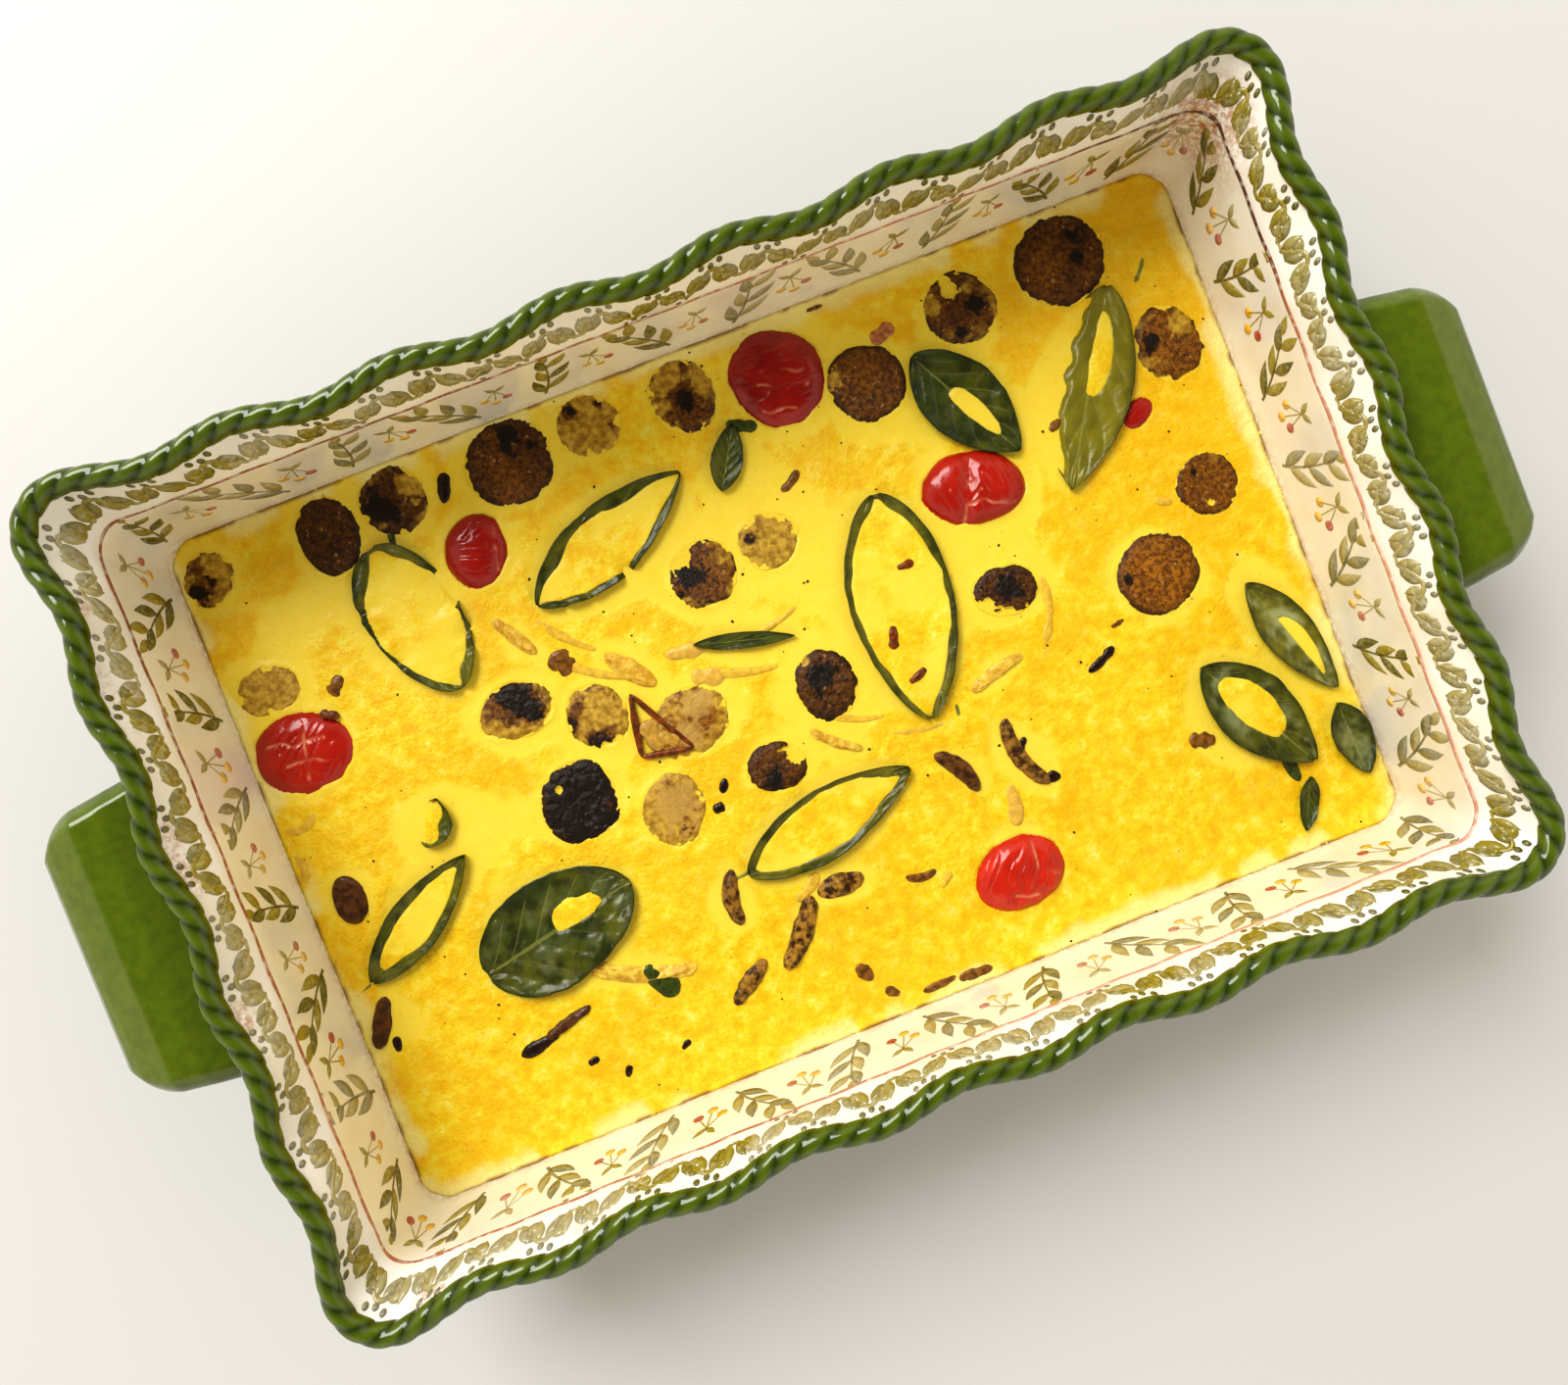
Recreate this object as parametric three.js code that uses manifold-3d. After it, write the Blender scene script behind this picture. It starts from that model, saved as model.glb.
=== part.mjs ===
// A rectangular stoneware baking dish with a twisted-rope rim, a flared wavy lip and a lug handle at each
// short end. It holds a baked egg dish set with slices of sausage, tomatoes, mushroom and onion, and with
// basil leaves on top.
// Millimetres, +Z up. The origin is under the middle of the dish, on the table, and X runs along the dish.

import * as THREE from "three";
import { mergeVertices } from "three/addons/utils/BufferGeometryUtils.js";
import Module from "manifold-3d";

const wasm = await Module();
wasm.setup();

// The rim: a rope whose centre line runs round at these half sizes.
const ROPE_HALF_X = 176.5;
const ROPE_HALF_Y = 120;
const ROPE_CORNER = 12;
const ROPE_Z = 74;
const ROPE_RIDGE = 3.6;
const ROPE_GROOVE = 2.7;
const STRAND_PITCH = 7.2;
const ROPE_LEAD = 2 * STRAND_PITCH;
const ROPE_SEAMS = [-80, -10, 55, 120, 200]; // degrees round the rope, from outward over the top

// The rim waves in and out, with a crest at each corner, and the long sides bow in a little.
const WAVES_LONG = 7;
const WAVES_SHORT = 5;
const WAVE_DEPTH = 1.8;
const LONG_BOW = 2.5;

// The wall: nearly upright from the floor to the bend, where the lip flares out to the rope.
const WALL = 5;
const BEND_IN = 8.5;
const BEND_Z = 60;
const BEND_CORNER = 9;
const FLOOR = 6.5;
const FLOOR_IN = BEND_IN + 12;
const FOOT_IN = BEND_IN + 5;
const DISH_CELLS = { long: 14, short: 10, corner: 4 };

// The lug handles, one at each short end: half widths where they leave the rope and at the tip, the round
// of the corners, how far the tip bows out, how far from the rope the root flares, and the ease of the
// outline's straight runs into its curves.
const HANDLE_REACH = 215;
const HANDLE_ROOT = 46;
const HANDLE_TIP = 39;
const HANDLE_CORNER = 15;
const HANDLE_BULGE = 3;
const HANDLE_FLARE = 10;
const HANDLE_EASE = 1;

// The handle's section, each place given by how far it lies in from the reach and below the crown.
const HANDLE_CROWN_Z = 69;
const HANDLE_TOP = [
  { inward: 32, drop: 4 },
  { inward: 24, drop: 1 },
  { inward: 16, drop: 0 },
  { inward: 8, drop: 2.5 },
  { inward: 3, drop: 6 },
];
const HANDLE_NOSE = { inward: 0, drop: 9 };
const HANDLE_LIP = { inward: 1, drop: 13 };
const HANDLE_UNDER = [
  { inward: 7, drop: 12 },
  { inward: 15, drop: 8.5 },
  { inward: 25, drop: 10 },
  { inward: 34, drop: 15 },
];
const HANDLE_ROOT_DROP = 22;

// The baked egg fills the dish to this height, and its top is gently uneven. CUT_Z is above all of it.
const EGG_Z = 21.5;
const EGG_SWELL = 0.8;
const EGG_CELL = 22;
const CUT_Z = EGG_Z + 8;
const GAP = 0.35;
const SOCKET_GAP = 0.45;

// How deep a set-in piece reaches into the egg.
const SET_DEPTH = 5;

// A tomato's rings above the egg, as shares of its radius and height, and its root below it.
const TOMATO_RINGS = [
  { share: 1, up: 0 },
  { share: 0.94, up: 0.5 },
  { share: 0.66, up: 0.86 },
  { share: 0.25, up: 1 },
];
const TOMATO_ROOT = 4;
const TOMATO_ROOT_SHARE = 0.85;
const TOMATO_ROUGH = 0.08;
const FIRST_TOMATO_SEED = 3;

// The crease across a tomato: shares of its height that it starts at and sinks, and of its radius across.
const CREASE_FROM = 0.7;
const CREASE_DEPTH = 0.22;
const CREASE_WIDTH = 0.4;

// How a leaf lies: its gap to the egg, its thickness, and how far its edges turn up and ripple.
const LEAF_CLEAR = 0.6;
const LEAF_THICK = 0.8;
const LEAF_CELL = 8;
const LEAF_COLUMNS = [-1, -0.62, 0, 0.62, 1];
const LEAF_RISE_SHARE = 0.16;
const LEAF_RISE_MOST = 2.4;
const LEAF_RIPPLE = 0.35;
const LEAF_RIPPLES = 11;

// The leaf's outline: its widest place lies towards the stem, and its sides are full.
const LEAF_LEAN = 0.88;
const LEAF_FULLNESS = 0.72;
const LEAF_CUP = 2.5;

const material = (color, roughness, metalness = 0) =>
  new THREE.MeshStandardMaterial({ color, roughness, metalness });

const finishes = {
  glaze: material(0x4f7a1f, 0.18),
  egg: material(0xf2c530, 0.45),
  sausage: material(0x5b3a20, 0.6),
  tomato: material(0xb3160b, 0.2),
  basil: material(0x2f5a1c, 0.45),
  mushroom: material(0x4a3020, 0.55),
  onion: material(0xc9963f, 0.5),
};

// Solids and meshes

const toSolid = (geometry) => {
  const bare = geometry.clone();
  bare.deleteAttribute("normal");
  bare.deleteAttribute("uv");
  const merged = mergeVertices(bare, 1e-4);
  return new wasm.Manifold(
    new wasm.Mesh({
      numProp: 3,
      vertProperties: new Float32Array(merged.attributes.position.array),
      triVerts: new Uint32Array(merged.index.array),
    }),
  );
};

const toGeometry = (solid) => {
  const mesh = solid.getMesh();
  const geometry = new THREE.BufferGeometry();
  geometry.setAttribute("position", new THREE.BufferAttribute(mesh.vertProperties, 3));
  geometry.setIndex(new THREE.BufferAttribute(mesh.triVerts, 1));
  geometry.computeVertexNormals();
  return geometry;
};

const fromFaces = (points, faces) => {
  const geometry = new THREE.BufferGeometry();
  const coords = points.flatMap((p) => [p.x, p.y, p.z]);
  geometry.setAttribute("position", new THREE.Float32BufferAttribute(coords, 3));
  geometry.setIndex(faces);
  return geometry;
};

const root = new THREE.Group();

const addPiece = (name, geometry, finish) => {
  const mesh = new THREE.Mesh(geometry, finishes[finish]);
  mesh.name = name;
  root.add(mesh);
};

// The plan outline of the dish: four straight sides and four corner arcs. A place on it is a distance run
// anticlockwise along the rope's centre line, from the foot of the right-hand side.

const SIDE_X = 2 * (ROPE_HALF_X - ROPE_CORNER);
const SIDE_Y = 2 * (ROPE_HALF_Y - ROPE_CORNER);
const ARC = (Math.PI / 2) * ROPE_CORNER;
const LEGS = [SIDE_Y, ARC, SIDE_X, ARC, SIDE_Y, ARC, SIDE_X, ARC];
const ROUND = LEGS.reduce((sum, leg) => sum + leg, 0);

const waveAt = (fraction, waves, bow) =>
  WAVE_DEPTH * Math.cos(2 * Math.PI * waves * fraction) - bow * 4 * fraction * (1 - fraction);

// The point at distance s, on the outline that lies inset inside the rope line with the given corner
// radius. wave is how much of the rim's waviness it takes, from 0 to 1.
const planPoint = (s, { inset, corner = BEND_CORNER, wave = 0, z }) => {
  let left = ((s % ROUND) + ROUND) % ROUND;
  let leg = 0;
  while (left > LEGS[leg] && leg < LEGS.length - 1) {
    left -= LEGS[leg];
    leg += 1;
  }
  const fraction = left / LEGS[leg];
  const turn = (Math.floor(leg / 2) * Math.PI) / 2;
  const isLong = leg % 4 === 2;
  const along = (isLong ? ROPE_HALF_X : ROPE_HALF_Y) - inset - corner;
  const out = (isLong ? ROPE_HALF_Y : ROPE_HALF_X) - inset;
  const local = new THREE.Vector3(0, 0, z);
  if (leg % 2 === 0) {
    const waves = isLong ? WAVES_LONG : WAVES_SHORT;
    local.x = out + wave * waveAt(fraction, waves, isLong ? LONG_BOW : 0);
    local.y = along * (2 * fraction - 1);
    return local.applyAxisAngle(new THREE.Vector3(0, 0, 1), turn);
  }
  const angle = turn + (fraction * Math.PI) / 2;
  const reach = corner + wave * WAVE_DEPTH;
  const signX = leg === 1 || leg === 7 ? 1 : -1;
  const signY = leg === 1 || leg === 3 ? 1 : -1;
  local.x = signX * (ROPE_HALF_X - inset - corner) + reach * Math.cos(angle);
  local.y = signY * (ROPE_HALF_Y - inset - corner) + reach * Math.sin(angle);
  return local;
};

// Distances of the plain rings' corners: a few on each side and on each arc.
const plainStops = LEGS.flatMap((leg, i) => {
  const start = LEGS.slice(0, i).reduce((sum, l) => sum + l, 0);
  const sideCells = i % 4 === 2 ? DISH_CELLS.long : DISH_CELLS.short;
  const cells = i % 2 === 1 ? DISH_CELLS.corner : sideCells;
  return Array.from({ length: cells }, (_, k) => start + (leg * k) / cells);
});

const plainRing = (level) =>
  plainStops.map((s) => ({ s, point: planPoint(s, level) }));

// A mesh under way: points, triangles, and the ways to join one ring to the next.
const newShell = () => {
  const points = [];
  const faces = [];
  const place = (ring) =>
    ring.map(({ s, point }) => ({ s, index: points.push(point) - 1 }));
  const band = (below, above) => {
    below.forEach(({ index: a }, i) => {
      const next = (i + 1) % below.length;
      const b = below[next].index;
      const c = above[next].index;
      const d = above[i].index;
      faces.push(a, b, c, a, c, d);
    });
  };
  // Joins rings of different counts, by stepping along the one whose next edge has its middle first.
  const stitch = (below, above) => {
    const reach = (ring, i) => ring[i % ring.length].s + ROUND * Math.floor(i / ring.length);
    const middle = (ring, i) => (reach(ring, i) + reach(ring, i + 1)) / 2;
    let i = 0;
    let j = 0;
    while (i < below.length || j < above.length) {
      const a = below[i % below.length].index;
      const d = above[j % above.length].index;
      const stepBelow = i < below.length
        && (j >= above.length || middle(below, i) <= middle(above, j));
      if (stepBelow) {
        faces.push(a, below[(i + 1) % below.length].index, d);
        i += 1;
      } else {
        faces.push(a, above[(j + 1) % above.length].index, d);
        j += 1;
      }
    }
  };
  const cap = (ring, z, facesUp) => {
    const centre = points.push(new THREE.Vector3(0, 0, z)) - 1;
    ring.forEach(({ index: a }, i) => {
      const b = ring[(i + 1) % ring.length].index;
      faces.push(...(facesUp ? [centre, a, b] : [centre, b, a]));
    });
  };
  return { points, faces, place, band, stitch, cap };
};

// The rope: each seam line runs the whole way round, and the ridges lean with the twist, so that every
// strand slants forward as it crosses the rim from inside to outside, clockwise seen from above.

const STRANDS = Math.round(ROUND / STRAND_PITCH);
const halfPitch = ROUND / STRANDS / 2;

const ropeLine = (degrees) => {
  const angle = THREE.MathUtils.degToRad(degrees);
  const isEdge = degrees === ROPE_SEAMS[0] || degrees === ROPE_SEAMS[ROPE_SEAMS.length - 1];
  const lean = (ROPE_LEAD * angle) / (2 * Math.PI);
  return Array.from({ length: 2 * STRANDS }, (_, i) => {
    const radius = i % 2 === 0 && !isEdge ? ROPE_RIDGE : ROPE_GROOVE;
    const s = i * halfPitch + lean;
    const level = {
      inset: -radius * Math.cos(angle),
      corner: ROPE_CORNER + radius * Math.cos(angle),
      wave: 1,
      z: ROPE_Z + radius * Math.sin(angle),
    };
    return { s, point: planPoint(s, level) };
  });
};

// The same line, started at its first point past distance zero, for stitching to a plain ring.
const fromZero = (line) => {
  const first = line.findIndex(({ s }) => s >= 0);
  const before = line.slice(0, first).map(({ s, index }) => ({ s: s + ROUND, index }));
  return [...line.slice(first), ...before];
};

const OUTER_LEVELS = [
  { inset: FOOT_IN, z: 0 },
  { inset: FOOT_IN - 4, z: 3 },
  { inset: BEND_IN - WALL + 1, z: 14 },
  { inset: BEND_IN - WALL, z: BEND_Z - 2, corner: BEND_CORNER + 2 },
];

const INNER_LEVELS = [
  { inset: BEND_IN, z: BEND_Z },
  { inset: BEND_IN, z: 24 },
  { inset: BEND_IN + 1.5, z: 14 },
  { inset: BEND_IN + 5, z: FLOOR + 2 },
  { inset: FLOOR_IN, z: FLOOR },
];

const dishShell = () => {
  const shell = newShell();
  const outer = OUTER_LEVELS.map((level) => shell.place(plainRing(level)));
  const rope = ROPE_SEAMS.map((degrees) => shell.place(ropeLine(degrees)));
  const inner = INNER_LEVELS.map((level) => shell.place(plainRing(level)));
  shell.cap(outer[0], 0, false);
  outer.slice(1).forEach((ring, i) => shell.band(outer[i], ring));
  shell.stitch(outer[outer.length - 1], fromZero(rope[0]));
  rope.slice(1).forEach((line, i) => shell.band(rope[i], line));
  shell.stitch(fromZero(rope[rope.length - 1]), inner[0]);
  inner.slice(1).forEach((ring, i) => shell.band(inner[i], ring));
  shell.cap(inner[inner.length - 1], FLOOR, true);
  return toSolid(fromFaces(shell.points, shell.faces));
};

// A lug handle: a slab with a valley beside the rope, a crown, and an outer edge that droops and rounds
// under, cut to a tapered outline with round corners.
const handle = () => {
  const rootX = ROPE_HALF_X - BEND_IN + WALL / 2;
  const spot = ({ inward, drop }) => new THREE.Vector2(HANDLE_REACH - inward, HANDLE_CROWN_Z - drop);
  const nose = spot(HANDLE_NOSE);
  const lip = spot(HANDLE_LIP);
  const section = new THREE.Shape();
  section.moveTo(rootX, spot(HANDLE_TOP[0]).y);
  section.splineThru(HANDLE_TOP.map(spot));
  section.quadraticCurveTo(nose.x, nose.y, lip.x, lip.y);
  section.splineThru(HANDLE_UNDER.map(spot));
  section.lineTo(rootX, HANDLE_CROWN_Z - HANDLE_ROOT_DROP);
  section.closePath();
  // The slab is wider than the outline that cuts it.
  const width = 2 * (HANDLE_ROOT + HANDLE_FLARE);
  const slab = new THREE.ExtrudeGeometry(section, { depth: width, bevelEnabled: false, curveSegments: 8 });
  slab.rotateX(Math.PI / 2);
  slab.translate(0, width / 2, 0);

  const tipX = HANDLE_REACH - HANDLE_BULGE;
  const bowX = HANDLE_REACH + 2 * HANDLE_EASE;
  const flareX = ROPE_HALF_X + HANDLE_FLARE;
  const bendX = flareX - HANDLE_FLARE / 2;
  const rootY = HANDLE_ROOT + 2 * HANDLE_EASE;
  const cornerY = HANDLE_TIP - HANDLE_CORNER;
  const outline = new THREE.Shape();
  outline.moveTo(rootX, -rootY);
  outline.quadraticCurveTo(bendX, -HANDLE_ROOT, flareX, -HANDLE_ROOT + HANDLE_EASE);
  outline.lineTo(tipX - HANDLE_CORNER, -HANDLE_TIP - HANDLE_EASE);
  outline.quadraticCurveTo(tipX, -HANDLE_TIP, tipX + HANDLE_EASE, -cornerY);
  outline.quadraticCurveTo(bowX, 0, tipX + HANDLE_EASE, cornerY);
  outline.quadraticCurveTo(tipX, HANDLE_TIP, tipX - HANDLE_CORNER, HANDLE_TIP + HANDLE_EASE);
  outline.lineTo(flareX, HANDLE_ROOT - HANDLE_EASE);
  outline.quadraticCurveTo(bendX, HANDLE_ROOT, rootX, rootY);
  outline.closePath();
  const cutter = new THREE.ExtrudeGeometry(outline, { depth: ROPE_Z, bevelEnabled: false, curveSegments: 5 });
  return toSolid(slab).intersect(toSolid(cutter));
};

const lug = handle();
const dish = dishShell().add(lug).add(lug.rotate([0, 0, 180]));
addPiece("baking_dish", toGeometry(dish), "glaze");

// The egg. Its top swells gently, so every piece on it asks this for its height.
const eggTop = (x, y) =>
  EGG_Z
  + EGG_SWELL * 0.6 * Math.sin(x / 29 + 1.1) * Math.cos(y / 24 - 0.4)
  + EGG_SWELL * 0.4 * Math.sin(x / 47 - y / 33);

// Everything above the egg's top, as a block with the swelling surface underneath.
const aboveEgg = () => {
  const halfX = ROPE_HALF_X;
  const halfY = ROPE_HALF_Y;
  const nx = Math.round((2 * halfX) / EGG_CELL);
  const ny = Math.round((2 * halfY) / EGG_CELL);
  const block = new THREE.BoxGeometry(2 * halfX, 2 * halfY, 1, nx, ny, 1);
  const at = block.attributes.position;
  for (let i = 0; i < at.count; i += 1) {
    const z = at.getZ(i) < 0 ? eggTop(at.getX(i), at.getY(i)) : BEND_Z;
    at.setZ(i, z);
  }
  return toSolid(block);
};

const eggBlock = () => {
  const shell = newShell();
  const levels = INNER_LEVELS.slice(1).reverse().map((level) => ({
    ...level,
    inset: level.inset + GAP,
    z: level.z + GAP,
  }));
  levels.push({ inset: BEND_IN + GAP, z: CUT_Z });
  const rings = levels.map((level) => shell.place(plainRing(level)));
  shell.cap(rings[0], FLOOR + GAP, false);
  rings.slice(1).forEach((ring, i) => shell.band(rings[i], ring));
  shell.cap(rings[rings.length - 1], CUT_Z, true);
  return toSolid(fromFaces(shell.points, shell.faces));
};

// Outlines of pieces, as rings of 2-D points about their own centre

const wobble = (seed, angle) =>
  0.5 * Math.sin(2 * angle + seed)
  + 0.3 * Math.sin(3 * angle + 2.3 * seed)
  + 0.2 * Math.sin(5 * angle + 4.1 * seed);

// A rough round or oval: rough is how far its edge wanders, as a share of the radius.
const roundOutline = ({ rx, ry = rx, rough = 0.05, square = 2, sides = 12 }, seed) =>
  Array.from({ length: sides }, (_, i) => {
    const angle = (2 * Math.PI * i) / sides;
    const grow = 1 + rough * wobble(seed, angle);
    const c = Math.cos(angle);
    const s = Math.sin(angle);
    const k = Math.pow(Math.abs(c) ** square + Math.abs(s) ** square, -1 / square);
    return new THREE.Vector2(rx * grow * c * k, ry * grow * s * k);
  });

// A strip that tapers to its ends and bends by sweep degrees along its length.
const stripOutline = ({ length, width, sweep = 0, cells = 4 }) => {
  const bend = Math.max(Math.abs(THREE.MathUtils.degToRad(sweep)), 1e-3);
  const side = Math.sign(sweep) || 1;
  const radius = length / bend;
  const spot = (u, off) => {
    const angle = bend * (u - 0.5);
    const r = radius + off;
    return new THREE.Vector2(r * Math.sin(angle), side * (radius - r * Math.cos(angle)));
  };
  const half = (u) => (width / 2) * Math.max(0.35, Math.sqrt(Math.sin(Math.PI * u)));
  const steps = Array.from({ length: cells + 1 }, (_, i) => i / cells);
  const there = steps.map((u) => spot(u, half(u)));
  const back = steps.reverse().map((u) => spot(u, -half(u)));
  const ring = [...there, ...back];
  return THREE.ShapeUtils.isClockWise(ring) ? ring.reverse() : ring;
};

// The outline moved outward by a distance, corner by corner.
const growOutline = (outline, distance) =>
  outline.map((p, i) => {
    const before = outline[(i + outline.length - 1) % outline.length];
    const after = outline[(i + 1) % outline.length];
    const inNormal = new THREE.Vector2(p.y - before.y, before.x - p.x).normalize();
    const outNormal = new THREE.Vector2(after.y - p.y, p.x - after.x).normalize();
    const mean = inNormal.add(outNormal).normalize();
    return p.clone().addScaledVector(mean, distance);
  });

const setOutline = (outline, { x, y, turn = 0 }) => {
  const middle = new THREE.Vector2(x, y);
  const angle = THREE.MathUtils.degToRad(turn);
  return outline.map((p) => p.clone().add(middle).rotateAround(middle, angle));
};

// A solid through a stack of outlines with the same number of points, lowest first.
const stack = (layers) => {
  const lift = ({ outline, z }) => outline.map((p) => new THREE.Vector3(p.x, p.y, z));
  const points = layers.flatMap(lift);
  const n = layers[0].outline.length;
  const faces = [];
  for (let k = 0; k + 1 < layers.length; k += 1) {
    for (let i = 0; i < n; i += 1) {
      const a = k * n + i;
      const b = k * n + ((i + 1) % n);
      faces.push(a, b, b + n, a, b + n, a + n);
    }
  }
  const top = (layers.length - 1) * n;
  THREE.ShapeUtils.triangulateShape(layers[0].outline, []).forEach(([a, b, c]) => faces.push(a, c, b));
  THREE.ShapeUtils.triangulateShape(layers[layers.length - 1].outline, [])
    .forEach(([a, b, c]) => faces.push(top + a, top + b, top + c));
  return fromFaces(points, faces);
};

// Pieces set in the egg. Each one also leaves its socket, which the egg is cut by at the end.
const sockets = [];

const addSocket = (plan, low) => {
  const room = growOutline(plan, SOCKET_GAP);
  sockets.push(toSolid(stack([{ outline: room, z: low - GAP }, { outline: room, z: CUT_Z }])));
};

const setInEgg = (name, outline, place, finish, { proud, dome = 0.8, rounding = 1.2 }) => {
  const plan = setOutline(outline, place);
  const low = eggTop(place.x, place.y) - SET_DEPTH;
  const high = eggTop(place.x, place.y) + proud;
  addPiece(name, stack([
    { outline: plan, z: low },
    { outline: plan, z: high - dome },
    { outline: growOutline(plan, -rounding), z: high },
  ]), finish);
  addSocket(plan, low);
};

// Slices of sausage: the centre, the two radii, and how far the slice stands out of the egg.
const SAUSAGE_SLICES = [
  { x: 127, y: 94, rx: 14.5, proud: 1.6 },
  { x: 92, y: 91.5, rx: 11.5, proud: 1.2 },
  { x: 56, y: 80, rx: 12, proud: 1.4 },
  { x: 150.5, y: 57, rx: 10.5, ry: 12, proud: 1.2 },
  { x: 146, y: 11, rx: 10, ry: 9.5, proud: 1 },
  { x: 121, y: -10, rx: 13.5, ry: 12.5, proud: 1.8 },
  { x: -58, y: 97, rx: 13.5, proud: 1.8 },
  { x: 0, y: 97, rx: 10, ry: 12, proud: 1.2 },
  { x: -31, y: 99, rx: 10, ry: 9.5, rough: 0.1, proud: 0.8 },
  { x: -96, y: 99, rx: 10.5, ry: 10.5, rough: 0.08, proud: 1.4 },
  { x: -118.5, y: 96, rx: 9.5, ry: 12.5, proud: 1.6 },
  { x: -158.3, y: 97, rx: 8, rough: 0.12, proud: 0.7 },
  { x: -14.5, y: 42.5, rx: 10.5, rough: 0.08, proud: 1.2 },
  { x: 8.5, y: 45, rx: 9, rough: 0.1, proud: 0.7 },
  { x: -85, y: 24, rx: 12, ry: 8.5, rough: 0.1, proud: 1.6 },
  { x: -62, y: 13, rx: 9.5, ry: 10, rough: 0.1, proud: 1.2 },
  { x: -36, y: 0.5, rx: 13.5, ry: 10, turn: 15, proud: 1.4 },
  { x: -77, y: -10, rx: 12, ry: 11.5, rough: 0.1, square: 3, proud: 2.2 },
  { x: -50, y: -23, rx: 10, ry: 11.5, rough: 0.1, proud: 0.9 },
  { x: 9, y: -4, rx: 9, ry: 11.5, rough: 0.08, proud: 1.8 },
  { x: -15, y: -22.5, rx: 9, ry: 8, rough: 0.12, proud: 1.6 },
  { x: 73, y: 3, rx: 10.5, ry: 7.5, rough: 0.08, proud: 1.6 },
  { x: -154, y: 58, rx: 10.5, ry: 7, rough: 0.12, proud: 0.7 },
];

SAUSAGE_SLICES.forEach((slice, i) => {
  setInEgg(`sausage_slice_${i + 1}`, roundOutline(slice, i + 1), slice, "sausage", slice);
});

// Bits of mushroom and strips of onion. A bit with a length is a strip that bends by its sweep.
const BITS = [
  { name: "mushroom_1", x: -155, y: -12, rx: 5, ry: 8, proud: 1.5 },
  { name: "mushroom_2", x: 39, y: -44.5, length: 18, width: 6, sweep: 50, turn: 120, proud: 1.4 },
  { name: "mushroom_3", x: -160.5, y: -52, length: 16, width: 6, turn: 62, proud: 1.6 },
  { name: "mushroom_4", x: -106, y: -73.5, length: 17, width: 4, turn: 15, proud: 1 },
  { name: "mushroom_5", x: -27, y: -75, length: 24, width: 7, sweep: 25, turn: 50, proud: 1.4 },
  { name: "mushroom_6", x: -48, y: -83, length: 17, width: 6, turn: 35, proud: 1 },
  { name: "mushroom_7", x: -44, y: -56, length: 18, width: 6, sweep: -60, turn: 80, proud: 1 },
  { name: "mushroom_8", x: 58, y: -48, length: 26, width: 6, sweep: 60, turn: -75, proud: 1 },
  { name: "mushroom_9", x: -10, y: -65, rx: 8, ry: 4, rough: 0.08, proud: 0.8 },
  { name: "onion_1", x: -47, y: 23, length: 18, width: 7, turn: -50, proud: 1 },
  { name: "onion_2", x: -77, y: 46, length: 17, width: 5, turn: -58, proud: 0.8 },
  { name: "onion_3", x: 61, y: -20, length: 20, width: 5, sweep: -20, turn: 15, proud: 0.8 },
  { name: "onion_4", x: 5, y: -22, length: 18, width: 4, sweep: 20, turn: -40, proud: 0.8 },
  { name: "onion_5", x: -79, y: -68, length: 36, width: 6, sweep: 40, turn: -22, proud: 0.8 },
];

BITS.forEach((bit, i) => {
  const outline = bit.length ? stripOutline(bit) : roundOutline(bit, i + 1);
  const rounding = 0.13 * (bit.width ?? 2 * bit.ry);
  setInEgg(bit.name, outline, bit, bit.name.split("_")[0], { proud: bit.proud, dome: 0.5, rounding });
});

// Tomatoes: collapsed skins that stand well out of the egg, each with a crease across it.
const TOMATOES = [
  { x: 30, y: 92, rx: 15, ry: 16, height: 6 },
  { x: 75.5, y: 37, rx: 17.5, ry: 11.5, turn: -12, height: 6, crease: 100 },
  { x: -78, y: 75, rx: 10, ry: 11.5, turn: -20, height: 5 },
  { x: -151, y: 36, rx: 16, ry: 13, turn: -20, height: 4, crease: 40 },
  { x: 45, y: -83, rx: 15, ry: 12, height: 6.5, crease: 50 },
  { x: 133, y: 40, rx: 6, ry: 4, turn: 25, height: 2.5 },
];

const tomatoLayers = ({ x, y, rx, ry, turn = 0, height }, seed) => {
  const root = { share: TOMATO_ROOT_SHARE, rise: -TOMATO_ROOT };
  const above = TOMATO_RINGS.map(({ share, up }) => ({ share, rise: up * height }));
  return [root, ...above].map(({ share, rise }) => {
    const shape = { rx: rx * share, ry: ry * share, rough: TOMATO_ROUGH };
    return {
      outline: setOutline(roundOutline(shape, seed), { x, y, turn }),
      z: eggTop(x, y) + rise,
      dip: rise > CREASE_FROM * height ? CREASE_DEPTH * height : 0,
    };
  });
};

const tomatoSolid = ({ x, y, ry, crease = 75 }, layers) => {
  const geometry = stack(layers);
  const at = geometry.attributes.position;
  const n = layers[0].outline.length;
  const across = THREE.MathUtils.degToRad(crease);
  for (let i = 0; i < at.count; i += 1) {
    const dx = at.getX(i) - x;
    const dy = at.getY(i) - y;
    const off = Math.abs(dx * Math.sin(across) - dy * Math.cos(across));
    const near = Math.max(0, 1 - off / (CREASE_WIDTH * ry));
    at.setZ(i, at.getZ(i) - layers[Math.floor(i / n)].dip * near);
  }
  return geometry;
};

TOMATOES.forEach((tomato, i) => {
  const layers = tomatoLayers(tomato, i + FIRST_TOMATO_SEED);
  addPiece(`tomato_${i + 1}`, tomatoSolid(tomato, layers), "tomato");
  addSocket(layers[1].outline, layers[0].z);
});

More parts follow.
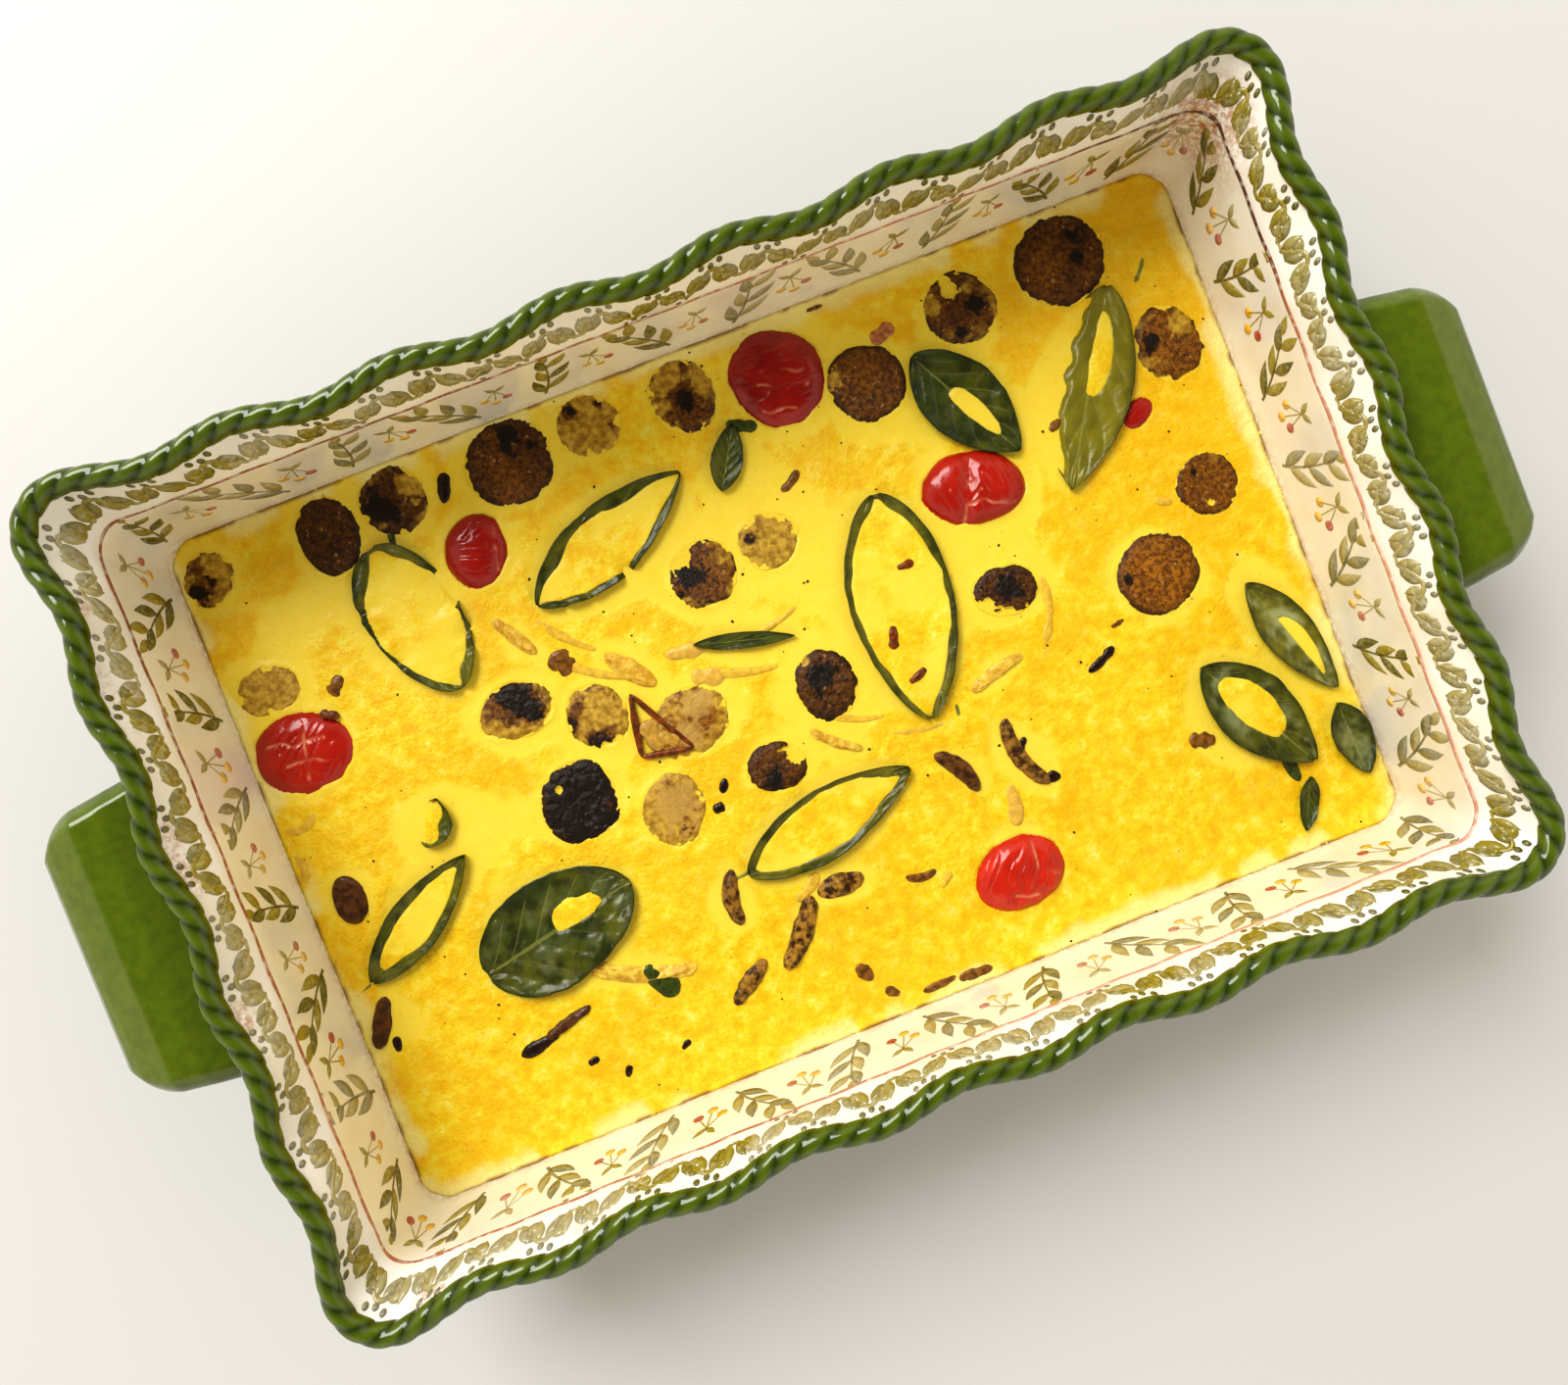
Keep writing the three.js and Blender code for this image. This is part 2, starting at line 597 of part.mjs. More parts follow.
// Basil leaves lie on the egg with their edges turned up. length runs from stem to tip along turn.
const LEAVES = [
  { x: -103, y: 62, length: 52, width: 31, turn: -78 },
  { x: -38, y: 63.5, length: 62, width: 25, turn: 22 },
  { x: 6, y: 74, length: 22, width: 11, turn: 60 },
  { x: -10, y: 18.5, length: 33, width: 6, turn: -16 },
  { x: 40.5, y: 10, length: 74, width: 35, turn: -97 },
  { x: 82.5, y: 62.5, length: 46, width: 26, turn: -62 },
  { x: 121, y: 53, length: 66, width: 29, turn: -121 },
  { x: 134.5, y: -63.5, length: 48, width: 26, turn: -60 },
  { x: 153.5, y: -44, length: 45, width: 17, turn: -70 },
  { x: 160.5, y: -82, length: 25, width: 14, turn: -88 },
  { x: 139.5, y: -96.5, length: 18, width: 7, turn: -116 },
  { x: -6, y: -44.5, length: 62, width: 23, turn: 12 },
  { x: -137, y: -25.5, length: 50, width: 18, turn: 33 },
  { x: -97.5, y: -44.5, length: 54, width: 37, turn: 12 },
  { x: -122, y: 1, length: 16, width: 14, turn: 60 },
];

const leaf = ({ x, y, length, width, turn }, seed) => {
  const rows = Math.max(5, Math.round(length / LEAF_CELL));
  const across = LEAF_COLUMNS;
  const rise = Math.min(LEAF_RISE_MOST, LEAF_RISE_SHARE * width);
  const heading = THREE.MathUtils.degToRad(turn);
  const spot = (u, v, lift) => {
    const half = 0.5 * width * Math.pow(Math.sin(Math.PI * Math.pow(u, LEAF_LEAN)), LEAF_FULLNESS);
    const run = (u - 0.5) * length;
    const side = v * half;
    const px = x + run * Math.cos(heading) - side * Math.sin(heading);
    const py = y + run * Math.sin(heading) + side * Math.cos(heading);
    const edge = Math.pow(Math.abs(v), LEAF_CUP);
    const ripple = LEAF_RIPPLE * (1 + Math.sin(LEAF_RIPPLES * u + seed + 2 * v)) * edge;
    return new THREE.Vector3(px, py, eggTop(px, py) + LEAF_CLEAR + rise * edge + ripple + lift);
  };
  const points = [];
  const faces = [];
  const side = (lift) => {
    const first = points.push(spot(0, 0, lift)) - 1;
    for (let r = 1; r < rows; r += 1) {
      across.forEach((v) => points.push(spot(r / rows, v, lift)));
    }
    const last = points.push(spot(1, 0, lift)) - 1;
    return { first, last, at: (r, k) => first + 1 + (r - 1) * across.length + k };
  };
  const under = side(0);
  const over = side(LEAF_THICK);
  const both = (pick) => {
    faces.push(...pick(over));
    faces.push(...pick(under).reverse());
  };
  for (let k = 0; k + 1 < across.length; k += 1) {
    both((f) => [f.first, f.at(1, k), f.at(1, k + 1)]);
    both((f) => [f.last, f.at(rows - 1, k + 1), f.at(rows - 1, k)]);
    for (let r = 1; r + 1 < rows; r += 1) {
      both((f) => [f.at(r, k), f.at(r + 1, k), f.at(r + 1, k + 1)]);
      both((f) => [f.at(r, k), f.at(r + 1, k + 1), f.at(r, k + 1)]);
    }
  }
  const rim = (pickStart, pickEnd) => {
    faces.push(pickStart(under), pickEnd(under), pickEnd(over));
    faces.push(pickStart(under), pickEnd(over), pickStart(over));
  };
  const edgeSteps = Array.from({ length: rows }, (_, r) => r);
  const spotAt = (f, r, k) => {
    if (r === 0) return f.first;
    return r === rows ? f.last : f.at(r, k);
  };
  edgeSteps.forEach((r) => {
    rim((f) => spotAt(f, r, 0), (f) => spotAt(f, r + 1, 0));
    rim((f) => spotAt(f, r + 1, across.length - 1), (f) => spotAt(f, r, across.length - 1));
  });
  return fromFaces(points, faces);
};

LEAVES.forEach((one, i) => {
  addPiece(`basil_leaf_${i + 1}`, leaf(one, i + 1), "basil");
});

const egg = sockets.reduce((solid, socket) => solid.subtract(socket), eggBlock().subtract(aboveEgg()));
addPiece("baked_egg", toGeometry(egg), "egg");

export default root;
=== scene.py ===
# A baked egg dish in a stoneware baking dish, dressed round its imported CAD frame.
import math

import bmesh
import bpy
import numpy as np
from mathutils import Matrix, Vector


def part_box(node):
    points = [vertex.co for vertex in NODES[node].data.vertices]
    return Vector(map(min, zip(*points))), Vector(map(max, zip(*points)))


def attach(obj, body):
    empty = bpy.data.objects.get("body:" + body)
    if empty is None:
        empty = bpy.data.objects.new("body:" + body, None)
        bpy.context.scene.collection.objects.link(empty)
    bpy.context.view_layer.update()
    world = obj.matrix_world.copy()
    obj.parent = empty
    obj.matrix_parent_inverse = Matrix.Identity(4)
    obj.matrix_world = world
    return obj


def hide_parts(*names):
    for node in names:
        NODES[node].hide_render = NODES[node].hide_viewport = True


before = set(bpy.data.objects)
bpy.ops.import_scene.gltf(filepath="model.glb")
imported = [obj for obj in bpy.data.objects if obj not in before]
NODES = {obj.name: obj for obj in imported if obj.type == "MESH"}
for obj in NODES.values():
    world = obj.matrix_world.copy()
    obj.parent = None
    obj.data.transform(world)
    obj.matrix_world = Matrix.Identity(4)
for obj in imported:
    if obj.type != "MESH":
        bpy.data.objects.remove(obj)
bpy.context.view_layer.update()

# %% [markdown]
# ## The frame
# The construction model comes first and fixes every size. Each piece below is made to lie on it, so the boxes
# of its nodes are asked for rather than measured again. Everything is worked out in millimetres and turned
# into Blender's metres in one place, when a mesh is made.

MM = 0.001


def box_mm(node):
    """The lowest and highest corner of a CAD node, in millimetres."""
    low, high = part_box(node)
    return np.array(low) / MM, np.array(high) / MM


DISH_LOW, DISH_HIGH = box_mm("baking_dish")
print("dish box in mm", DISH_LOW.round(1), DISH_HIGH.round(1), "nodes", len(NODES))

# %% [markdown]
# ## The camera
# The photograph was taken from just above the dish with a wide lens, so the walls fan outwards. The camera
# repeats that: its place, its turn and its focal length were fitted to the corners of the rim, the bend and
# the egg. The small shift moves the picture's centre without turning the camera.

# %% Place the camera
PHOTO_WIDTH = 1600
FOCAL_PX = 1130
CENTRE_SHIFT_PX = (-16.0, -6.1)
SENSOR_MM = 36
CLIP_START_M = 0.01
EGG_Z = 21.5
CAMERA_AT = (-17.0, 10.8, EGG_Z + 350.6)
CAMERA_TILT = (0.803, 1.838, 21.468)


def camera_turn(tilt):
    """The camera's rotation in the world, from the tilts that take the world to the camera."""
    about_x, about_y, about_z = (math.radians(angle) for angle in tilt)
    to_camera = (Matrix.Rotation(about_x, 3, "X") @ Matrix.Rotation(about_y, 3, "Y")
                 @ Matrix.Rotation(about_z, 3, "Z"))
    return to_camera.transposed()


def place_object(name, data):
    """An object that shows the data in the scene."""
    made = bpy.data.objects.new(name, data)
    bpy.context.scene.collection.objects.link(made)
    return made


lens = bpy.data.cameras.new("photo_view")
lens.sensor_width = SENSOR_MM
lens.lens = SENSOR_MM * FOCAL_PX / PHOTO_WIDTH
lens.shift_x = -CENTRE_SHIFT_PX[0] / PHOTO_WIDTH
lens.shift_y = CENTRE_SHIFT_PX[1] / PHOTO_WIDTH
lens.clip_start = CLIP_START_M
camera = place_object("photo_view", lens)
camera.matrix_world = Matrix.Translation(Vector(CAMERA_AT) * MM) @ camera_turn(CAMERA_TILT).to_4x4()
bpy.context.scene.camera = camera
print("camera at", [round(v, 4) for v in camera.location], "lens", round(lens.lens, 2), "mm")

# %% [markdown]
# ## Light and floor
# Soft daylight falls from the upper left of the picture, and the warm room fills the shadows. One large area
# light does the first and the world the second. The room is dimmer overhead, where the photographer stands,
# so wet surfaces mirror something dark and keep their full colour. The floor is a plain pale sheet.

# %% Set up the light and the floor
LIGHT_FROM = Vector((-0.40, 0.92, 1.00)).normalized()
LIGHT_DISTANCE = 2.6
LIGHT_SIZE = 1.38
LIGHT_WATTS = 53.0
LIGHT_COLOUR = (1.0, 0.985, 0.955)
ROOM_SIDE = (0.98, 0.90, 0.76)
ROOM_CEILING = (0.14, 0.13, 0.12)
ROOM_STRENGTH = 0.92
CEILING_FROM, CEILING_FULL = 0.62, 0.93
FLOOR_SIZE = 12.0
FLOOR_COLOUR = (0.695, 0.70, 0.71)
FLOOR_ROUGHNESS = 0.6
MIX_SHARE, MIX_BELOW, MIX_ABOVE, MIX_RESULT = 0, 6, 7, 2


def new_material(name):
    """A material with its shader, ready for nodes."""
    made = bpy.data.materials.new(name)
    made.use_nodes = True
    return made, made.node_tree, made.node_tree.nodes["Principled BSDF"]


light_data = bpy.data.lights.new("window", "AREA")
light_data.shape = "SQUARE"
light_data.size = LIGHT_SIZE
light_data.energy = LIGHT_WATTS
light_data.color = LIGHT_COLOUR
window = place_object("window", light_data)
window.location = LIGHT_FROM * LIGHT_DISTANCE
window.rotation_mode = "QUATERNION"
window.rotation_quaternion = LIGHT_FROM.to_track_quat("Z", "Y")

room = bpy.data.worlds.new("room")
room.use_nodes = True
background = room.node_tree.nodes["Background"]
direction = room.node_tree.nodes.new("ShaderNodeTexCoord")
parts = room.node_tree.nodes.new("ShaderNodeSeparateXYZ")
height = room.node_tree.nodes.new("ShaderNodeMapRange")
height.interpolation_type = "SMOOTHSTEP"
height.inputs["From Min"].default_value = CEILING_FROM
height.inputs["From Max"].default_value = CEILING_FULL
shade = room.node_tree.nodes.new("ShaderNodeMix")
shade.data_type = "RGBA"
shade.inputs[MIX_BELOW].default_value = (*ROOM_SIDE, 1)
shade.inputs[MIX_ABOVE].default_value = (*ROOM_CEILING, 1)
room.node_tree.links.new(direction.outputs["Generated"], parts.inputs[0])
room.node_tree.links.new(parts.outputs["Z"], height.inputs["Value"])
room.node_tree.links.new(height.outputs[0], shade.inputs[MIX_SHARE])
room.node_tree.links.new(shade.outputs[MIX_RESULT], background.inputs["Color"])
background.inputs["Strength"].default_value = ROOM_STRENGTH
bpy.context.scene.world = room
bpy.context.scene.view_settings.view_transform = "Standard"
bpy.context.scene.view_settings.look = "Medium High Contrast"

floor_mesh = bpy.data.meshes.new("floor")
half_floor = FLOOR_SIZE / 2
floor_mesh.from_pydata([(-half_floor, -half_floor, 0), (half_floor, -half_floor, 0),
                        (half_floor, half_floor, 0), (-half_floor, half_floor, 0)], [], [(0, 1, 2, 3)])
floor = place_object("floor", floor_mesh)
floor_paint, _, floor_shader = new_material("pale_table")
floor_shader.inputs["Base Color"].default_value = (*FLOOR_COLOUR, 1)
floor_shader.inputs["Roughness"].default_value = FLOOR_ROUGHNESS
floor_mesh.materials.append(floor_paint)
print("window light", LIGHT_WATTS, "W, room", ROOM_STRENGTH)

# %% [markdown]
# ## Helpers
# Some small helpers serve every piece. One turns points in millimetres into a mesh, one gives a piece to the
# body that carries it, and some list the faces of the shapes that come back: rings, sheets and closed slabs.
# Smooth noise is the source of all that is uneven here. It is a plain formula of place and seed, so every run
# gives the same dish.

# %% Define the helpers
def keep_numbers(mesh, key, values):
    """Keeps a number for each point of the mesh, under a name that a finish can read."""
    layer = mesh.attributes.new(key, "FLOAT", "POINT")
    layer.data.foreach_set("value", np.asarray(values, np.float32).ravel())


def make_piece(name, points, faces, materials, nodes=(), attributes=None, finish_of=None):
    """A mesh piece from points in millimetres that rides on the one body."""
    mesh = bpy.data.meshes.new(name)
    mesh.from_pydata((np.asarray(points, float) * MM).tolist(), [], faces)
    for one in materials:
        mesh.materials.append(one)
    if finish_of is not None:
        mesh.polygons.foreach_set("material_index", np.asarray(finish_of, np.int32))
    mesh.polygons.foreach_set("use_smooth", np.ones(len(mesh.polygons), bool))
    for key, values in (attributes or {}).items():
        keep_numbers(mesh, key, values)
    mesh.validate()
    mesh.update()
    return carry(place_object(name, mesh), nodes)


def carry(piece, nodes=()):
    """Gives the piece to the body root, in place of the nodes that it stands for, which it hides."""
    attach(piece, "root")
    if nodes:
        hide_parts(*nodes)
    return piece


def grain(x, y, size, seed=0.0):
    """Smooth noise from -1 to 1 whose blobs are about size across."""
    u, v = np.asarray(x, float) / size, np.asarray(y, float) / size
    i, j = np.floor(u), np.floor(v)
    fu, fv = u - i, v - j
    fu, fv = fu * fu * (3 - 2 * fu), fv * fv * (3 - 2 * fv)

    def corner(a, b):
        mixed = np.sin((i + a) * 127.1 + (j + b) * 311.7 + seed * 74.7) * 43758.5453
        return 2 * (mixed - np.floor(mixed)) - 1

    low = corner(0, 0) * (1 - fu) + corner(1, 0) * fu
    high = corner(0, 1) * (1 - fu) + corner(1, 1) * fu
    return low * (1 - fv) + high * fv


def layered(x, y, size, seed=0.0, layers=3):
    """Noise with finer noise on it, each layer half as large and half as strong."""
    total = sum(grain(x, y, size / 2 ** k, seed + 11 * k) / 2 ** k for k in range(layers))
    return total / (2 - 2 ** (1 - layers))


def ramp(value, low, high):
    """0 below low, 1 above high and smooth between them."""
    share = np.clip((np.asarray(value, float) - low) / (high - low), 0, 1)
    return share * share * (3 - 2 * share)


def quads_between(first, second):
    """Quads between two closed rings, each given as the numbers of its points."""
    ahead, beside = first[1:] + first[:1], second[1:] + second[:1]
    return list(zip(first, ahead, beside, second))


def ring_faces(rings, count):
    """Quads between rings of count points each, the first ring lowest or outermost."""
    whole = [list(range(k * count, (k + 1) * count)) for k in range(rings)]
    return [face for k in range(rings - 1) for face in quads_between(whole[k], whole[k + 1])]


def rim_of(columns, rows):
    """The rim of a grid whose rows follow each other, as the numbers of its points."""
    return (list(range(columns)) + [r * columns + columns - 1 for r in range(1, rows)]
            + [(rows - 1) * columns + c for c in range(columns - 2, -1, -1)]
            + [r * columns for r in range(rows - 2, 0, -1)])


def slab_faces(rows, columns):
    """Faces of a closed slab: a grid, the same grid below it and the wall between their rims."""
    below = rows * columns
    top = [(i, i + columns, i + columns + 1, i + 1)
           for r in range(rows - 1) for i in range(r * columns, (r + 1) * columns - 1)]
    rim = rim_of(columns, rows)
    return (top + [tuple(below + k for k in reversed(face)) for face in top]
            + quads_between(rim, [below + k for k in rim]))


def sheets(x, y, *heights):
    """The points of one grid at each of the heights, one grid after the other."""
    return np.concatenate([np.stack([x, y, z], -1).reshape(-1, 3) for z in heights])


def on_both_sheets(numbers):
    """The numbers of a grid, given to both sheets of a slab."""
    return {key: np.tile(value.ravel(), 2) for key, value in numbers.items()}


print("noise at the origin", round(float(layered(3.0, 4.0, 5.0)), 3))

# %% [markdown]
# ## The outline of the dish
# Seen from above, the dish is four sides and four corner arcs, and the rim waves in and out along them. One
# function gives any point of it: how far round, how far in from the rope, and how much of the waves it takes.
# The same function shapes the body, the rope and the painted bands, so that they always fit each other.

# %% Describe the outline
ROPE_HALF = (176.5, 120.0)
ROPE_CORNER = 12.0
ROPE_Z = 74.0
STRAND_PITCH = 7.2
WAVES_LONG, WAVES_SHORT = 7, 5
WAVE_DEPTH = 1.8
LONG_BOW = 2.5
WALL = 5.0
BEND_IN = 8.5
BEND_Z = 60.0
BEND_CORNER = 9.0

SIDE_X = 2 * (ROPE_HALF[0] - ROPE_CORNER)
SIDE_Y = 2 * (ROPE_HALF[1] - ROPE_CORNER)
ARC = math.pi / 2 * ROPE_CORNER
LEGS = [SIDE_Y, ARC, SIDE_X, ARC] * 2
STARTS = np.concatenate([[0.0], np.cumsum(LEGS)])
ROUND = float(STARTS[-1])


def plan(s, inset, corner=BEND_CORNER, wave=0.0):
    """Points x, y of the outline at the distances s, inset inside the rope's centre line."""
    s = np.mod(np.asarray(s, float), ROUND)
    x, y = np.zeros_like(s), np.zeros_like(s)
    for leg, length in enumerate(LEGS):
        here = (s >= STARTS[leg]) & (s <= STARTS[leg + 1])
        share = (s[here] - STARTS[leg]) / length
        turn = leg // 2 * math.pi / 2
        if leg % 2 == 0:
            is_long = leg % 4 == 2
            along, out = (ROPE_HALF[0], ROPE_HALF[1]) if is_long else (ROPE_HALF[1], ROPE_HALF[0])
            waves, bow = (WAVES_LONG, LONG_BOW) if is_long else (WAVES_SHORT, 0.0)
            swing = WAVE_DEPTH * np.cos(2 * math.pi * waves * share) - bow * 4 * share * (1 - share)
            px = out - inset + wave * swing
            py = (along - inset - corner) * (2 * share - 1)
            x[here] = px * math.cos(turn) - py * math.sin(turn)
            y[here] = px * math.sin(turn) + py * math.cos(turn)
        else:
            angle = turn + share * math.pi / 2
            reach = corner + wave * WAVE_DEPTH
            sign_x = 1 if leg in (1, 7) else -1
            sign_y = 1 if leg in (1, 3) else -1
            x[here] = sign_x * (ROPE_HALF[0] - inset - corner) + reach * np.cos(angle)
            y[here] = sign_y * (ROPE_HALF[1] - inset - corner) + reach * np.sin(angle)
    return x, y


def stops(side_step, corner_cells):
    """Distances round the outline, evenly spread on each side and each corner arc."""
    found = []
    for leg, length in enumerate(LEGS):
        cells = corner_cells if leg % 2 else max(2, round(length / side_step))
        found.append(STARTS[leg] + length * np.arange(cells) / cells)
    return np.concatenate(found)


print("once round the rope is", round(ROUND, 1), "mm")

# %% [markdown]
# ## The glazes
# Stoneware glaze is a thin sheet of coloured glass, so it needs three things: a colour that pools darker
# where the glaze runs together and breaks lighter over an edge, a clear gloss, and a surface that isn't quite
# flat. The green one reads an attribute called crest_less_shade, which each green piece sets from its own
# shape; on the body and the handles it also carries painted shade next to the rope.

# %% Mix the glazes
def add(tree, kind, **values):
    """A node with its properties set by name."""
    node = tree.nodes.new(kind)
    for key, value in values.items():
        setattr(node, key, value)
    return node


def own_place(tree):
    """The place on the piece, in millimetres."""
    place = add(tree, "ShaderNodeTexCoord")
    scaled = add(tree, "ShaderNodeVectorMath", operation="SCALE")
    scaled.inputs["Scale"].default_value = 1 / MM
    tree.links.new(place.outputs["Object"], scaled.inputs[0])
    return scaled.outputs[0]


def new_finish(name):
    """A material with its tree, its shader and the place on the piece."""
    made, tree, shader = new_material(name)
    return made, tree, shader, own_place(tree)


def times(tree, first, second):
    """Two values multiplied."""
    node = add(tree, "ShaderNodeMath", operation="MULTIPLY")
    tree.links.new(first, node.inputs[0])
    tree.links.new(second, node.inputs[1])
    return node.outputs[0]


def noise_at(tree, place, size, detail=2.0, roughness=0.5):
    """A noise texture whose blobs are about size millimetres across."""
    node = add(tree, "ShaderNodeTexNoise")
    node.inputs["Scale"].default_value = 1 / size
    node.inputs["Detail"].default_value = detail
    node.inputs["Roughness"].default_value = roughness
    tree.links.new(place, node.inputs["Vector"])
    return node.outputs["Fac"]


def read(tree, attribute):
    """An attribute of the piece."""
    node = add(tree, "ShaderNodeAttribute")
    node.attribute_name = attribute
    return node.outputs["Fac"]


def colours(tree, value, *steps):
    """A colour ramp over pairs of place and colour."""
    node = add(tree, "ShaderNodeValToRGB")
    while len(node.color_ramp.elements) < len(steps):
        node.color_ramp.elements.new(0.5)
    for element, (at, colour) in zip(node.color_ramp.elements, steps):
        element.position = at
        element.color = (*colour, 1)
    tree.links.new(value, node.inputs["Fac"])
    return node.outputs["Color"]


def blend(tree, share, below, above):
    """Two colours mixed by a share, each a colour or a socket."""
    node = add(tree, "ShaderNodeMix", data_type="RGBA")
    tree.links.new(share, node.inputs[MIX_SHARE])
    for index, value in ((MIX_BELOW, below), (MIX_ABOVE, above)):
        if isinstance(value, bpy.types.NodeSocket):
            tree.links.new(value, node.inputs[index])
        else:
            node.inputs[index].default_value = (*value, 1)
    return node.outputs[MIX_RESULT]


def overlaid(tree, base, *layers):
    """A colour with others over it, given as pairs of share and colour, the lowest first."""
    for share, colour in layers:
        base = blend(tree, share, base, colour)
    return base


def reshape(tree, value, low, high, to_low=0.0, to_high=1.0):
    """A value spread smoothly from one range to another."""
    node = add(tree, "ShaderNodeMapRange", interpolation_type="SMOOTHSTEP")
    for index, number in enumerate((low, high, to_low, to_high), 1):
        node.inputs[index].default_value = number
    tree.links.new(value, node.inputs[0])
    return node.outputs[0]


def bump(tree, shader, height, millimetres):
    """Raises the surface by a height from 0 to 1, in shading only."""
    node = add(tree, "ShaderNodeBump")
    node.inputs["Strength"].default_value = 1.0
    node.inputs["Distance"].default_value = millimetres * MM
    tree.links.new(height, node.inputs["Height"])
    tree.links.new(node.outputs["Normal"], shader.inputs["Normal"])


def gloss(shader, roughness, coat=0.0, coat_roughness=0.05, sheer=0.0, radius=(1.0, 0.4, 0.15), depth=0.002,
          mirror=0.5):
    """The values that are the same all over a surface, set on the shader's own sockets."""
    shader.inputs["Specular IOR Level"].default_value = mirror
    shader.inputs["Roughness"].default_value = roughness
    shader.inputs["Coat Weight"].default_value = coat
    shader.inputs["Coat Roughness"].default_value = coat_roughness
    shader.inputs["Subsurface Weight"].default_value = sheer
    shader.inputs["Subsurface Radius"].default_value = radius
    shader.inputs["Subsurface Scale"].default_value = depth


GREEN_POOL = (0.010, 0.026, 0.002)
GREEN_GLAZE = (0.100, 0.150, 0.004)
GREEN_BREAK = (0.20, 0.24, 0.015)
CREAM = (0.89, 0.87, 0.825)
CREAM_DEEP = (0.80, 0.735, 0.60)
BAKED_ON = (0.42, 0.15, 0.025)
CLAY_LIGHT, CLAY_SPECK = (0.62, 0.50, 0.36), (0.40, 0.28, 0.18)
GLAZE_GLOSS = {"roughness": 0.22, "coat": 0.3}


def green_glaze():
    """The rope's and the outside's glaze, dark in the grooves and in painted shade, light on the crests."""
    made, tree, shader, place = new_finish("green_glaze")
    mottle = reshape(tree, noise_at(tree, place, 3.2, 3), 0.35, 0.7, 0.0, 0.22)
    base = colours(tree, read(tree, "crest_less_shade"), (0.0, GREEN_POOL), (0.5, GREEN_GLAZE), (1.0, GREEN_BREAK))
    tree.links.new(blend(tree, mottle, base, GREEN_POOL), shader.inputs["Base Color"])
    gloss(shader, 0.13, coat=0.12)
    bump(tree, shader, noise_at(tree, place, 5.0, 2), 0.12)
    return made


def cream_glaze():
    """The inside's glaze, a little deeper in patches, with brown where juice baked on."""
    made, tree, shader, place = new_finish("cream_glaze")
    deeper = reshape(tree, noise_at(tree, place, 14.0, 2), 0.4, 0.75, 0.0, 0.5)
    ragged = reshape(tree, noise_at(tree, place, 2.2, 4, 0.7), 0.38, 0.6)
    stained = times(tree, read(tree, "baked_on"), ragged)
    base = blend(tree, stained, blend(tree, deeper, CREAM, CREAM_DEEP), BAKED_ON)
    tree.links.new(base, shader.inputs["Base Color"])
    gloss(shader, **GLAZE_GLOSS)
    bump(tree, shader, noise_at(tree, place, 7.0, 2), 0.10)
    return made


def bare_clay():
    """The unglazed foot that the dish stands on."""
    made, tree, shader, place = new_finish("bare_clay")
    speck = reshape(tree, noise_at(tree, place, 0.9, 2), 0.55, 0.7)
    tree.links.new(blend(tree, speck, CLAY_LIGHT, CLAY_SPECK), shader.inputs["Base Color"])
    gloss(shader, 0.85)
    bump(tree, shader, noise_at(tree, place, 0.6, 3), 0.15)
    return made


GREEN, INSIDE, CLAY = green_glaze(), cream_glaze(), bare_clay()
print("glazes", [one.name for one in (GREEN, INSIDE, CLAY)])

# %% [markdown]
# ## The body of the dish
# A potter's mould makes the body as one skin: up the outside, over the rim under the rope, and down the
# inside. That is a loft, so the mesh is rings of points at named insets and heights, joined ring to ring.
# Curves between the named levels make the lip flare smoothly.

# %% Loft the body
FLOOR_Z = 6.5
FOOT_IN = BEND_IN + 5
BODY_LEVELS = [
    # inset, height, corner radius, share of the waves
    (FOOT_IN + 3, 0.0, 6.0, 0.0),
    (FOOT_IN, 0.0, 8.0, 0.0),
    (FOOT_IN - 2.4, 1.2, 9.0, 0.0),
    (FOOT_IN - 4.6, 4.0, 10.0, 0.0),
    (BEND_IN - WALL + 1.2, 13.0, 11.0, 0.0),
    (BEND_IN - WALL + 0.4, 30.0, 11.0, 0.0),
    (BEND_IN - WALL, 50.0, 11.0, 0.0),
    (BEND_IN - WALL - 0.3, 60.0, 11.2, 0.15),
    (1.6, 66.5, 11.5, 0.6),
    (-0.8, 71.0, 12.5, 1.0),
    (-0.6, ROPE_Z, 12.4, 1.0),
    (1.9, 73.6, 10.5, 1.0),
    (3.4, 71.6, 9.6, 0.9),
    (5.6, 67.6, 9.3, 0.6),
    (7.4, 63.6, 9.1, 0.25),
    (BEND_IN, BEND_Z, BEND_CORNER, 0.0),
    (BEND_IN + 0.15, 50.0, BEND_CORNER, 0.0),
    (BEND_IN + 0.3, 36.0, BEND_CORNER, 0.0),
    (BEND_IN + 0.5, 24.0, BEND_CORNER, 0.0),
    (BEND_IN + 1.5, 14.0, BEND_CORNER, 0.0),
    (BEND_IN + 5.0, FLOOR_Z + 2.0, 7.5, 0.0),
    (BEND_IN + 12.0, FLOOR_Z, 5.0, 0.0),
]
RIM_LEVEL = 10
CLAY_LEVEL = 2
LEVEL_STEPS = 3
SMOOTH_FROM, SMOOTH_TO = 4, 19
ROUND_STEP, CORNER_CELLS = 1.9, 14
OUTSIDE_FINISH, INSIDE_FINISH, FOOT_FINISH = 0, 1, 2
BODY_CREST, LIP_SHADE = 0.5, 0.28
BURNT_CORNER = (163, 106)
BURNT_SPREAD = 160
SPLASHED_LEFT_X, SPLASHED_NEAR_Y = -172, -117
SPLASH_WIDTH = 4


